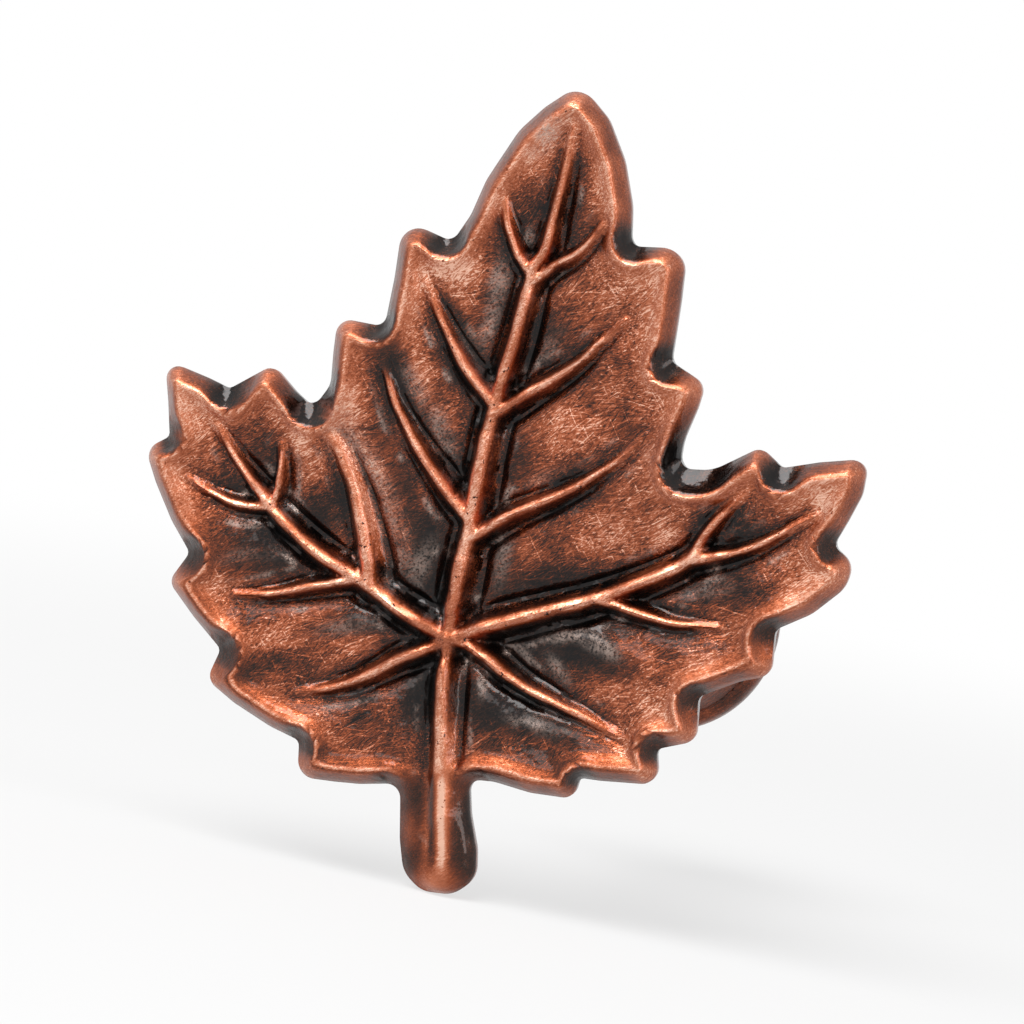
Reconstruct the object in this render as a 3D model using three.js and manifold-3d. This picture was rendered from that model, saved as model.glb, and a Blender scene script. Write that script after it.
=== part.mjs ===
// Leaf shaped pull: a one-piece cast cabinet knob. A carved maple leaf stands on a round post
// that flares out to a foot, and a tapped hole in the foot takes the screw through the drawer front.
// Millimetres. X is right and Z is up as the leaf is seen, and the leaf faces -Y.
// The origin is the centre of the foot's flat face, at the mouth of the tapped hole.
import * as THREE from "three";
import { mergeVertices } from "three/addons/utils/BufferGeometryUtils.js";
import Module from "manifold-3d";

const wasm = await Module();
wasm.setup();

// Main sizes of the leaf
const LEAF_WIDTH = 47;
const LEAF_HEIGHT = 51.6;
const PROJECTION = 30;

// Depths along the post, measured from the foot's face
const RIM_HEIGHT = 1.4;
const EDGE_DEPTH = 1.3;
const BACK_INSET = 0.3;
const PARTING = PROJECTION - RIM_HEIGHT;
const BACK = PARTING - EDGE_DEPTH;

// Post and foot
const FOOT_RADIUS = 8;
const FOOT_EDGE = 2.4;
const FOOT_ROUND = 0.9;
const NECK_RADIUS = 4.7;
const NECK_FILLET = 1.4;
const NECK_OVERLAP = 0.3;
const FLARE_LENGTH = 10;
const FLARE_CURVE = 2.4;
const HOLE_RADIUS = 1.7;
const HOLE_DEPTH = 12;
const HOLE_CHAMFER = 0.5;
const ROUND_SIDES = 48;
const HOLE_SIDES = 24;

// Rim: the bead's crest lies a little nearer to the right-hand edges than to the left-hand ones
const CREST_SHIFT = 0.25;
const DISH_DEPTH = 0.5;
const DISH_REACH = 3;

// Past the crease a panel rises by a quick shoulder, then by a slower swell that is longest at the root
const SHOULDER = 0.45;
const SHOULDER_RUN = 0.3;
const CREASE_RISE = [2.2, 1.0];
// Powers that give a vein its broad top and hollow sides
const VEIN_FLAT = 2.5;
const VEIN_ROUND = 2.6;

// Spacing of the carved surface's points
const EDGE_STEP = 0.64;
const VEIN_STEP = 0.7;
const FILL_STEP = 1.1;
const FINE_STEP = 0.4;

// The lists below are drawn on a leaf of this size
const DRAWN_WIDTH = 47;
const DRAWN_HEIGHT = 51.6;
const place = ([x, z]) => {
  return new THREE.Vector2((x * LEAF_WIDTH) / DRAWN_WIDTH, (z * LEAF_HEIGHT) / DRAWN_HEIGHT);
};

// Corners of the leaf's edge in X and Z, each with the radius that rounds it, from the top of the leaf
// down the right side, round the stem and up the left side.
const OUTLINE = [
  // top lobe, right side
  [-4.1, 34.4, 1.6],
  [-1.9, 32.6, 2.5],
  [-0.4, 30.2, 4],
  [0.6, 27.5, 4],
  [1.0, 25.0, 0.7],
  [4.6, 25.5, 1.5],
  [4.8, 22.3, 5],
  [4.9, 18.4, 0.6],
  [7.3, 17.4, 1.1],
  [7.1, 15.8, 3],
  [6.6, 13.7, 4],
  [6.6, 11.9, 0.8],
  // right lobe
  [8.8, 12.2, 3],
  [11.6, 14.2, 0.8],
  [13.2, 13.2, 0.6],
  [15.5, 14.0, 4],
  [18.5, 14.8, 1.5],
  [18.5, 12.5, 2],
  [17.9, 10.7, 3],
  [17.3, 9.1, 0.5],
  [18.7, 8.2, 1.3],
  [18.5, 6.6, 2],
  [16.7, 4.6, 3],
  [14.6, 3.2, 0.6],
  [14.8, 0.3, 1],
  [13.0, -0.4, 3],
  [10.5, -1.9, 0.6],
  // lower right lobe
  [10.8, -4.7, 0.9],
  [8.4, -5.7, 0.5],
  [8.9, -7.9, 1.4],
  [5.2, -8.4, 3],
  [3.8, -8.5, 0.4],
  [3.6, -9.9, 1.1],
  [0.8, -10.1, 4],
  [-1.7, -9.9, 3],
  // stem
  [-3.4, -10.1, 0.9],
  [-2.9, -12.3, 4],
  [-2.1, -14.4, 3],
  [-1.8, -16.3, 2],
  [-3.1, -17.55, 1.8],
  [-5.2, -17.75, 1.8],
  [-6.6, -16.8, 2],
  [-7.2, -14.8, 4],
  [-7.8, -11.3, 0.9],
  // lower left lobe
  [-10.5, -11.9, 4],
  [-12.2, -12.1, 4],
  [-14.7, -12.3, 1.2],
  [-15.0, -10.0, 0.5],
  [-17.1, -9.5, 4],
  [-19.8, -8.5, 3],
  [-21.9, -7.4, 0.9],
  [-21.3, -5.3, 0.5],
  [-23.5, -3.6, 4],
  [-25.6, -1.7, 0.8],
  [-24.5, 0.4, 0.5],
  // left lobe
  [-26.1, 2.2, 4],
  [-27.6, 4.4, 4],
  [-28.7, 6.4, 1.1],
  [-27.2, 7.5, 0.4],
  [-27.7, 9.7, 2],
  [-28.4, 12.3, 1.3],
  [-25.3, 11.7, 2],
  [-23.7, 11.3, 0.5],
  [-21.1, 13.3, 0.8],
  [-19.4, 12.0, 2],
  [-17.9, 11.1, 1],
  // top lobe, left side
  [-17.0, 12.8, 1.5],
  [-17.2, 14.9, 3],
  [-17.3, 17.1, 1.2],
  [-14.1, 17.1, 0.7],
  [-14.0, 20.3, 5],
  [-14.1, 24.0, 1.3],
  [-10.6, 23.2, 0.8],
  [-9.7, 25.1, 3],
  [-9.1, 27.4, 3],
  [-8.7, 28.3, 2],
  [-7.5, 30.9, 4],
  [-6.1, 32.6, 4],
];

// Rim section from the parting line inwards: distance in from the edge, height above the parting line
const RIM = [
  [0, 0],
  [0.5, 0.88],
  [0.75, 1.26],
  [1.0, RIM_HEIGHT],
  [1.3, 1.3],
  [1.8, 1.06],
];
// Section of the stem, which swells like a half-round bar
const TAB = [
  [0, 0],
  [0.5, 0.52],
  [0.75, 0.7],
  [1.0, 0.82],
  [1.3, 0.92],
  [1.8, 1.02],
  [3.4, 1.12],
];
// The stem's axis, and where the blade's rim gives way to it
const STEM_TOP = place([-5.6, -9.6]);
const STEM_END = place([-4.0, -16.4]);
const STEM_HALF_WIDTH = 3.4;
const STEM_BLEND = 1.4;

// Veins: points from root to end in X and Z, half width to the crease beside it at root and end,
// crest height above the parting line at root and end, and groove depth below the panel at root and end
const VEINS = [
  {
    name: "midrib",
    width: [1.45, 1.05],
    crest: [1.5, 1.3],
    groove: [0.8, 0.65],
    path: [[-6.2, -1.4], [-6.1, 2.9], [-6.0, 6.8], [-5.9, 11.3], [-5.6, 14.9], [-5.1, 18.5], [-4.8, 22.6]],
  },
  {
    name: "midrib on the stem",
    width: [1.3, 1.0],
    crest: [1.5, 1.6],
    groove: [0.75, 0.1],
    path: [[-6.2, -1.4], [-5.8, -4.9], [-5.2, -8.5], [-4.7, -10.9], [-4.2, -13.0], [-3.8, -14.8]],
  },
  {
    name: "top vein",
    width: [1.0, 0.5],
    crest: [1.3, 1.0],
    groove: [0.65, 0.2],
    path: [[-4.8, 22.6], [-4.2, 23.9], [-4.0, 26.4], [-3.8, 29.0], [-3.7, 31.8]],
  },
  {
    name: "top left branch",
    width: [0.95, 0.4],
    crest: [1.3, 1.05],
    groove: [0.65, 0.2],
    path: [[-5.0, 22.2], [-6.1, 23.5], [-6.9, 25.0], [-7.7, 27.0]],
  },
  {
    name: "top right branch",
    width: [0.95, 0.4],
    crest: [1.3, 1.1],
    groove: [0.65, 0.2],
    path: [[-4.6, 21.8], [-3.6, 22.9], [-1.9, 24.2], [-0.6, 26.1]],
  },
  {
    name: "upper left side vein",
    width: [1.15, 0.35],
    crest: [1.35, 0.85],
    groove: [0.75, 0.2],
    path: [[-6.0, 13.8], [-8.1, 15.7], [-10.2, 18.3], [-11.8, 20.8]],
  },
  {
    name: "lower left side vein",
    width: [1.25, 0.35],
    crest: [1.35, 0.85],
    groove: [0.8, 0.2],
    path: [[-6.1, 6.2], [-8.3, 8.1], [-11.4, 11.3], [-13.2, 14.3], [-14.0, 16.4]],
  },
  {
    name: "upper right side vein",
    width: [1.15, 0.35],
    crest: [1.35, 0.85],
    groove: [0.75, 0.2],
    path: [[-5.8, 13.0], [-3.4, 15.0], [-0.9, 17.2], [1.8, 20.5]],
  },
  {
    name: "lower right side vein",
    width: [1.15, 0.35],
    crest: [1.35, 0.85],
    groove: [0.75, 0.2],
    path: [[-6.0, 5.0], [-3.4, 7.0], [0.5, 9.6], [3.2, 12.1], [4.4, 13.8]],
  },
  {
    name: "left main vein",
    width: [1.35, 1.0],
    crest: [1.5, 1.25],
    groove: [0.8, 0.6],
    path: [[-6.2, -1.5], [-9.1, -0.5], [-12.0, 0.8], [-15.5, 2.1], [-18.8, 4.0], [-19.8, 4.8]],
  },
  {
    name: "left lobe vein",
    width: [0.95, 0.35],
    crest: [1.25, 0.9],
    groove: [0.6, 0.15],
    path: [[-19.7, 4.8], [-21.5, 6.4], [-24.3, 9.3]],
  },
  {
    name: "left lobe upper branch",
    width: [0.85, 0.4],
    crest: [1.25, 0.95],
    groove: [0.6, 0.2],
    path: [[-19.3, 4.4], [-19.0, 6.6], [-19.3, 8.5]],
  },
  {
    name: "left lobe lower branch",
    width: [0.85, 0.35],
    crest: [1.25, 0.95],
    groove: [0.6, 0.15],
    path: [[-19.8, 4.4], [-21.7, 4.2], [-23.4, 4.6], [-25.2, 5.2]],
  },
  {
    name: "broad left branch",
    width: [1.5, 0.7],
    crest: [1.4, 1.05],
    groove: [0.8, 0.2],
    path: [[-12.0, 0.9], [-12.2, 2.0], [-12.9, 4.0], [-13.9, 6.4], [-15.2, 8.6], [-16.2, 9.8]],
  },
  {
    name: "left outer branch",
    width: [1.0, 0.35],
    crest: [1.35, 0.85],
    groove: [0.7, 0.2],
    path: [[-12.8, 1.0], [-14.8, 0.3], [-18.3, -1.0], [-20.9, -1.6]],
  },
  {
    name: "lower left vein",
    width: [1.25, 0.4],
    crest: [1.45, 0.85],
    groove: [0.8, 0.2],
    path: [[-6.4, -1.8], [-8.9, -3.3], [-11.9, -5.5], [-15.7, -7.0]],
  },
  {
    name: "right main vein",
    width: [1.35, 1.0],
    crest: [1.5, 1.25],
    groove: [0.8, 0.6],
    path: [[-6.0, -1.4], [-2.2, 0.5], [3.2, 3.0], [7.5, 5.6], [9.0, 6.9]],
  },
  {
    name: "right lobe upper branch",
    width: [0.95, 0.35],
    crest: [1.25, 0.95],
    groove: [0.6, 0.15],
    path: [[8.6, 6.6], [9.8, 9.1], [11.8, 11.8]],
  },
  {
    name: "right lobe vein",
    width: [0.95, 0.35],
    crest: [1.25, 0.95],
    groove: [0.65, 0.2],
    path: [[8.4, 6.3], [12.3, 8.0], [16.2, 10.9]],
  },
  {
    name: "right lower branch",
    width: [1.05, 0.35],
    crest: [1.35, 0.85],
    groove: [0.7, 0.2],
    path: [[3.0, 2.9], [5.7, 2.6], [8.2, 2.4], [11.2, 2.7]],
  },
  {
    name: "lower right vein",
    width: [1.25, 0.4],
    crest: [1.45, 0.85],
    groove: [0.8, 0.2],
    path: [[-6.0, -1.5], [-4.2, -1.8], [-0.8, -3.4], [2.5, -4.3], [6.5, -5.4]],
  },
];

// Low swellings of the panels between the veins: centre, half sizes, turn in degrees, height
const SWELLS = [
  { at: [-1.2, -0.2], half: [2.2, 0.9], turn: 20, height: 0.22 },
  { at: [2.6, 0.4], half: [1.8, 0.8], turn: -10, height: 0.20 },
  { at: [5.6, -0.6], half: [2.4, 1.0], turn: -20, height: 0.14 },
  { at: [-9.6, 2.8], half: [0.9, 3.2], turn: -10, height: 0.16 },
  { at: [-8.4, 16.4], half: [0.8, 2.4], turn: 25, height: 0.14 },
  { at: [-10.0, 9.6], half: [0.9, 3.2], turn: 32, height: 0.14 },
  { at: [-0.6, -5.4], half: [2.6, 0.9], turn: -15, height: 0.14 },
  { at: [-17.0, 7.4], half: [1.0, 2.4], turn: 12, height: 0.12 },
  { at: [-5.4, 30.0], half: [0.9, 1.4], turn: -20, height: 0.10 },
];

function smoothStep(from, to, value) {
  const t = Math.min(1, Math.max(0, (value - from) / (to - from)));
  return t * t * (3 - 2 * t);
}

function section(table, distance) {
  for (let i = 1; i < table.length; i++) {
    const [a, ha] = table[i - 1];
    const [b, hb] = table[i];
    if (distance <= b) return ha + ((hb - ha) * Math.max(0, distance - a)) / (b - a);
  }
  return table[table.length - 1][1];
}

const mix = (pair, t) => pair[0] + (pair[1] - pair[0]) * t;

// One corner of the edge as an arc: where it starts and ends, its centre, its radius and its angles
function cornerArc(before, corner, after, radius) {
  const toPrev = before.clone().sub(corner);
  const toNext = after.clone().sub(corner);
  const room = 0.48 * Math.min(toPrev.length(), toNext.length());
  toPrev.normalize();
  toNext.normalize();
  const half = Math.acos(Math.min(1, Math.max(-1, toPrev.dot(toNext)))) / 2;
  const run = Math.min(room, radius / Math.tan(half));
  const bend = run * Math.tan(half);
  const middle = toPrev.clone().add(toNext).normalize().multiplyScalar(run / Math.cos(half)).add(corner);
  const from = corner.clone().addScaledVector(toPrev, run);
  const to = corner.clone().addScaledVector(toNext, run);
  const start = Math.atan2(from.y - middle.y, from.x - middle.x);
  const end = Math.atan2(to.y - middle.y, to.x - middle.x);
  const clockwise = toPrev.x * toNext.y - toPrev.y * toNext.x > 0;
  return { from, to, middle, bend, start, end, clockwise };
}

// The closed edge of the leaf: straight runs joined by the arcs, as points at even steps
function roundedLoop(corners, step) {
  const path = new THREE.CurvePath();
  const spots = corners.map(place);
  const count = spots.length;
  const arcs = spots.map((spot, i) => {
    return cornerArc(spots[(i + count - 1) % count], spot, spots[(i + 1) % count], corners[i][2]);
  });
  arcs.forEach((arc, i) => {
    const { x, y } = arc.middle;
    path.add(new THREE.EllipseCurve(x, y, arc.bend, arc.bend, arc.start, arc.end, arc.clockwise));
    path.add(new THREE.LineCurve(arc.to, arcs[(i + 1) % count].from));
  });
  const points = path.getSpacedPoints(Math.round(path.getLength() / step));
  points.pop();
  return points;
}

const edge = roundedLoop(OUTLINE, EDGE_STEP);
const fineEdge = roundedLoop(OUTLINE, EDGE_STEP / 3);

// Unit direction into the leaf at one point of the edge
function inwardAt(i) {
  const before = edge[(i + edge.length - 1) % edge.length];
  const after = edge[(i + 1) % edge.length];
  const along = after.clone().sub(before).normalize();
  return new THREE.Vector2(along.y, -along.x);
}

function distanceToSegment(p, a, b) {
  const abx = b.x - a.x;
  const aby = b.y - a.y;
  const t = ((p.x - a.x) * abx + (p.y - a.y) * aby) / (abx * abx + aby * aby || 1);
  const k = Math.min(1, Math.max(0, t));
  return { far: Math.hypot(p.x - a.x - k * abx, p.y - a.y - k * aby), k };
}

function distanceToEdge(p) {
  let best = Infinity;
  for (let i = 0; i < fineEdge.length; i++) {
    const { far } = distanceToSegment(p, fineEdge[i], fineEdge[(i + 1) % fineEdge.length]);
    if (far < best) best = far;
  }
  return best;
}

function insideLoop(loop, p) {
  let inside = false;
  for (let i = 0, j = loop.length - 1; i < loop.length; j = i++) {
    const a = loop[i];
    const b = loop[j];
    if (a.y > p.y === b.y > p.y) continue;
    if (p.x < ((b.x - a.x) * (p.y - a.y)) / (b.y - a.y) + a.x) inside = !inside;
  }
  return inside;
}

// Place across the rim's section: 0 at the edge, 1 on the bead's crest, then millimetres inward
function inwardOf(p) {
  const moved = new THREE.Vector2(p.x - CREST_SHIFT, p.y);
  let fromCrestLoop = distanceToEdge(moved);
  if (fromCrestLoop < 2 * CREST_SHIFT && !insideLoop(fineEdge, moved)) fromCrestLoop *= -1;
  if (fromCrestLoop >= 1) return fromCrestLoop;
  const fromEdge = distanceToEdge(p);
  return fromEdge / Math.max(1e-6, fromEdge + 1 - fromCrestLoop);
}

// Each vein as a smooth centre line of short steps
for (const vein of VEINS) {
  vein.curve = new THREE.SplineCurve(vein.path.map(place));
  vein.length = vein.curve.getLength();
  vein.line = vein.curve.getSpacedPoints(Math.ceil(vein.length / 0.4));
}

function nearestOnVein(vein, p) {
  let best = { far: Infinity, t: 0 };
  const last = vein.line.length - 1;
  for (let i = 0; i < last; i++) {
    const { far, k } = distanceToSegment(p, vein.line[i], vein.line[i + 1]);
    if (far < best.far) best = { far, t: (i + k) / last };
  }
  return best;
}

// How much a place belongs to the stem, from 0 on the blade to 1 on the stem
function stemShare(p) {
  const along = STEM_END.clone().sub(STEM_TOP).normalize();
  const from = p.clone().sub(STEM_TOP);
  const side = Math.abs(from.x * along.y - from.y * along.x);
  if (side > STEM_HALF_WIDTH) return 0;
  return smoothStep(0, STEM_BLEND, from.dot(along));
}

function swelling(p) {
  let total = 0;
  for (const { at, half, turn, height } of SWELLS) {
    const angle = THREE.MathUtils.degToRad(-turn);
    const d = p.clone().sub(place(at)).rotateAround(new THREE.Vector2(), angle);
    total += height * Math.exp(-0.7 * Math.hypot(d.x / half[0], d.y / half[1]) ** 3);
  }
  return total;
}

// What the veins do to the panel at one place: the hollow beside them, their lift, and how much is vein
function carving(p, panel, reach) {
  let hollow = 0;
  let lift = 0;
  let share = 0;
  for (const vein of VEINS) {
    const { far, t } = nearestOnVein(vein, p);
    const width = mix(vein.width, t);
    const groove = mix(vein.groove, t) * reach;
    const out = Math.max(0, far - width);
    const slow = Math.exp(-out / mix(CREASE_RISE, t));
    hollow += (groove * (SHOULDER * Math.exp(-out / SHOULDER_RUN) + (1 - SHOULDER) * slow)) ** 4;
    const rise = mix(vein.crest, t) - panel + groove;
    if (far >= width || rise <= 0) continue;
    const bell = (1 - (far / width) ** VEIN_FLAT) ** VEIN_ROUND;
    lift += (rise * bell) ** 6;
    share = Math.max(share, bell * Math.min(1, rise / 0.5));
  }
  return { hollow: hollow ** (1 / 4), lift: lift ** (1 / 6), share };
}

// Height of the carved face above the parting line
function relief(p) {
  const inward = inwardOf(p);
  const stem = stemShare(p);
  const rim = section(RIM, inward) * (1 - stem) + section(TAB, inward) * stem;
  const dish = DISH_DEPTH * (1 - stem) * (1 - Math.exp(-Math.max(0, inward - 1.8) / DISH_REACH));
  const { hollow, lift, share } = carving(p, rim - dish, smoothStep(0.8, 1.9, inward));
  const calm = smoothStep(1.9, 3.2, inward) * (1 - stem) * (1 - Math.min(1, 1.4 * share));
  return rim - dish + calm * swelling(p) - hollow + lift;
}

// Points of the carved face. A point is kept if it is inside the edge, as far in as asked,
// and clear of the points kept before it.
const kept = edge.map((p) => p.clone());
const cells = new Map();

const cellKey = (p, i, j) => `${Math.floor(p.x) + i},${Math.floor(p.y) + j}`;

function cellsNear(p) {
  const near = [];
  for (const i of [-1, 0, 1])
    for (const j of [-1, 0, 1]) near.push(...(cells.get(cellKey(p, i, j)) || []));
  return near;
}

function store(p) {
  const key = cellKey(p, 0, 0);
  if (!cells.has(key)) cells.set(key, []);
  cells.get(key).push(p);
}

function addPoint(p, gap, least) {
  if (!insideLoop(edge, p) || inwardOf(p) < least) return;
  if (cellsNear(p).some((q) => q.distanceTo(p) < gap)) return;
  kept.push(p);
  store(p);
}

// Points along the rim at one place of its section
function addRing(inward, gap) {
  const shift = CREST_SHIFT * Math.min(1, inward);
  edge.forEach((p, i) => {
    const spot = p.clone().addScaledVector(inwardAt(i), inward);
    spot.x += shift;
    addPoint(spot, gap, inward - 0.04);
  });
}

function underRidge(vein, p) {
  const { far, t } = nearestOnVein(vein, p);
  return far < 0.8 * mix(vein.width, t);
}

// Points along a vein, a share of its half width to one side; thin stretches can be left out
function addBesideVein(vein, side, gap, thinnest = 0) {
  const count = Math.round(vein.length / VEIN_STEP);
  for (let i = 0; i <= count; i++) {
    const width = mix(vein.width, i / count);
    if (width < thinnest) continue;
    const spot = vein.curve.getPointAt(i / count);
    const along = vein.curve.getTangentAt(i / count);
    const p = new THREE.Vector2(spot.x - along.y * side * width, spot.y + along.x * side * width);
    if (side && VEINS.some((other) => other !== vein && underRidge(other, p))) continue;
    addPoint(p, gap, 1.1);
  }
}

function addBothSides(share, gap, thinnest) {
  for (const vein of VEINS) {
    addBesideVein(vein, -share, gap, thinnest);
    addBesideVein(vein, share, gap, thinnest);
  }
}

function veinsMeetAt(p) {
  return VEINS.filter((vein) => nearestOnVein(vein, p).far < 1.3 * vein.width[0]).length > 1;
}

// A loose grid over the leaf, a little uneven so that no four points share a circle
function addGrid(step, gap, wanted) {
  for (let x = -0.7 * LEAF_WIDTH; x < 0.5 * LEAF_WIDTH; x += step)
    for (let z = -0.4 * LEAF_HEIGHT; z < 0.7 * LEAF_HEIGHT; z += step) {
      const p = new THREE.Vector2(x + 0.07 * Math.sin(9 * z), z + 0.05 * Math.sin(7 * x));
      if (wanted(p)) addPoint(p, gap, 1.9);
    }
}

// The lines that carry the carving come first
function facePoints() {
  kept.forEach(store);
  addRing(1.0, 0.4);
  VEINS.forEach((vein) => addBesideVein(vein, 0, 0.3));
  addBothSides(1, 0.24);
  addRing(0.5, 0.3);
  addRing(0.75, 0.22);
  addRing(1.3, 0.26);
  addRing(1.8, 0.42);
  addBothSides(0.4, 0.2);
  addBothSides(0.7, 0.2, 0.7);
  addBothSides(1.4, 0.3);
  addBothSides(2.1, 0.5);
  addGrid(FINE_STEP, 0.3, veinsMeetAt);
  addGrid(FILL_STEP, 0.75, () => true);
  return kept;
}

function circleThrough(all, a, b, c) {
  const bx = all[b].x - all[a].x;
  const by = all[b].y - all[a].y;
  const cx = all[c].x - all[a].x;
  const cy = all[c].y - all[a].y;
  const d = 2 * (bx * cy - by * cx);
  const ux = (cy * (bx * bx + by * by) - by * (cx * cx + cy * cy)) / d;
  const uy = (bx * (cx * cx + cy * cy) - cx * (bx * bx + by * by)) / d;
  return { a, b, c, x: all[a].x + ux, y: all[a].y + uy, rr: ux * ux + uy * uy };
}

// Adds one point: the triangles whose circles hold it give way to new ones round it
function insertPoint(all, i, open, done) {
  const p = all[i];
  const sides = new Map();
  const still = [];
  for (const t of open) {
    const dx = p.x - t.x;
    if (dx > 0 && dx * dx > t.rr) {
      done.push(t);
      continue;
    }
    if (dx * dx + (p.y - t.y) ** 2 >= t.rr) {
      still.push(t);
      continue;
    }
    for (const [u, v] of [[t.a, t.b], [t.b, t.c], [t.c, t.a]]) {
      if (!sides.delete(v + "_" + u)) sides.set(u + "_" + v, [u, v]);
    }
  }
  for (const [u, v] of sides.values()) still.push(circleThrough(all, u, v, i));
  return still;
}

// Joins scattered points into well shaped triangles: no point lies in another triangle's circle
function triangulate(points) {
  const n = points.length;
  const wide = 20 * LEAF_HEIGHT;
  const outer = [new THREE.Vector2(-wide, -wide), new THREE.Vector2(wide, -wide), new THREE.Vector2(0, wide)];
  const all = [...points, ...outer];
  const order = points.map((_, i) => i).sort((i, j) => all[i].x - all[j].x || all[i].y - all[j].y);
  const done = [];
  let open = [circleThrough(all, n, n + 1, n + 2)];
  for (const i of order) open = insertPoint(all, i, open, done);
  return [...done, ...open].filter((t) => t.a < n && t.b < n && t.c < n).map((t) => [t.a, t.b, t.c]);
}

function middleOf(points, triangle) {
  const sum = new THREE.Vector2();
  for (const i of triangle) sum.add(points[i]);
  return sum.divideScalar(3);
}

// The blade: carved face in front, an edge that drafts both ways from the parting line, a flat back
function bladeGeometry() {
  const flat = facePoints();
  const n = edge.length;
  const vertices = flat.map((p, i) => [p.x, -(PARTING + (i < n ? 0 : relief(p))), p.y]);
  const faces = triangulate(flat).filter((t) => insideLoop(edge, middleOf(flat, t)));
  const backStart = vertices.length;
  const backLoop = edge.map((p, i) => p.clone().addScaledVector(inwardAt(i), BACK_INSET));
  backLoop.forEach((p) => vertices.push([p.x, -BACK, p.y]));
  for (let i = 0; i < n; i++) {
    const j = (i + 1) % n;
    faces.push([i, j, backStart + j]);
    faces.push([i, backStart + j, backStart + i]);
  }
  for (const [a, b, c] of THREE.ShapeUtils.triangulateShape(backLoop, []))
    faces.push([backStart + a, backStart + c, backStart + b]);
  const geometry = new THREE.BufferGeometry();
  geometry.setAttribute("position", new THREE.Float32BufferAttribute(vertices.flat(), 3));
  geometry.setIndex(faces.map((f) => facingOut(vertices, f)).flat());
  return geometry;
}

// Direction out of the solid at a triangle: the front looks to -Y, the back to +Y, the edge sideways
function outwardOf(vertices, face) {
  const onBack = face.filter((i) => Math.abs(vertices[i][1] + BACK) < 1e-6).length;
  if (onBack === 3) return new THREE.Vector3(0, 1, 0);
  if (onBack === 0) return new THREE.Vector3(0, -1, 0);
  const inner = inwardAt(Math.min(...face.filter((i) => i < edge.length)));
  return new THREE.Vector3(-inner.x, 0, -inner.y);
}

function facingOut(vertices, face) {
  const [a, b, c] = face.map((i) => new THREE.Vector3(...vertices[i]));
  const normal = b.sub(a).cross(c.sub(a));
  return normal.dot(outwardOf(vertices, face)) < 0 ? [face[0], face[2], face[1]] : face;
}

// Post: a foot with a rounded edge, a flare that narrows to the neck, and a small fillet at the leaf.
// Its far end is buried inside the blade.
function postGeometry() {
  const flatRadius = FOOT_RADIUS - FOOT_ROUND;
  const profile = [new THREE.Vector2(0, 0), new THREE.Vector2(flatRadius, 0)];
  for (let i = 1; i <= 5; i++) {
    const a = (i / 6) * Math.PI;
    const r = flatRadius + FOOT_ROUND * Math.sin(a);
    profile.push(new THREE.Vector2(r, (FOOT_EDGE / 2) * (1 - Math.cos(a))));
  }
  for (let i = 0; i <= 9; i++) {
    const t = i / 9;
    const r = NECK_RADIUS + (flatRadius - NECK_RADIUS) * (1 - t) ** FLARE_CURVE;
    profile.push(new THREE.Vector2(r, FOOT_EDGE + t * FLARE_LENGTH));
  }
  for (let i = 0; i <= 5; i++) {
    const a = (i / 5) * (Math.PI / 2);
    const r = NECK_RADIUS + NECK_FILLET * (1 - Math.cos(a));
    profile.push(new THREE.Vector2(r, BACK - NECK_FILLET + NECK_FILLET * Math.sin(a)));
  }
  profile.push(new THREE.Vector2(NECK_RADIUS + NECK_FILLET, BACK + NECK_OVERLAP));
  profile.push(new THREE.Vector2(0, BACK + NECK_OVERLAP));
  return new THREE.LatheGeometry(profile, ROUND_SIDES).rotateX(Math.PI);
}

// The tapped hole: a chamfered mouth, a plain bore and a drill point
function holeGeometry() {
  const profile = [
    new THREE.Vector2(0, -1),
    new THREE.Vector2(HOLE_RADIUS + HOLE_CHAMFER + 1, -1),
    new THREE.Vector2(HOLE_RADIUS, HOLE_CHAMFER),
    new THREE.Vector2(HOLE_RADIUS, HOLE_DEPTH),
    new THREE.Vector2(0, HOLE_DEPTH + HOLE_RADIUS * 0.6),
  ];
  return new THREE.LatheGeometry(profile, HOLE_SIDES).rotateX(Math.PI);
}

function toSolid(geometry) {
  const bare = geometry.clone();
  bare.deleteAttribute("normal");
  bare.deleteAttribute("uv");
  const merged = mergeVertices(bare, 1e-4);
  const triVerts = new Uint32Array(merged.index.array);
  const vertProperties = merged.attributes.position.array;
  return new wasm.Manifold(new wasm.Mesh({ numProp: 3, vertProperties, triVerts }));
}

function toGeometry(solid) {
  const { vertProperties, triVerts } = solid.getMesh();
  const geometry = new THREE.BufferGeometry();
  geometry.setAttribute("position", new THREE.BufferAttribute(vertProperties, 3));
  geometry.setIndex(new THREE.BufferAttribute(triVerts, 1));
  geometry.computeVertexNormals();
  return geometry;
}

function leafKnob() {
  const body = toSolid(bladeGeometry()).add(toSolid(postGeometry()));
  const copper = new THREE.MeshStandardMaterial({ color: 0xb06a48, roughness: 0.38, metalness: 1 });
  const mesh = new THREE.Mesh(toGeometry(body.subtract(toSolid(holeGeometry()))), copper);
  mesh.name = "leaf_knob";
  return mesh;
}

const pull = new THREE.Group();
pull.add(leafKnob());

export default pull;
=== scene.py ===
import math

import bmesh
import bpy
import numpy as np
from mathutils import Matrix, Vector, geometry, noise as perlin


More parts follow.
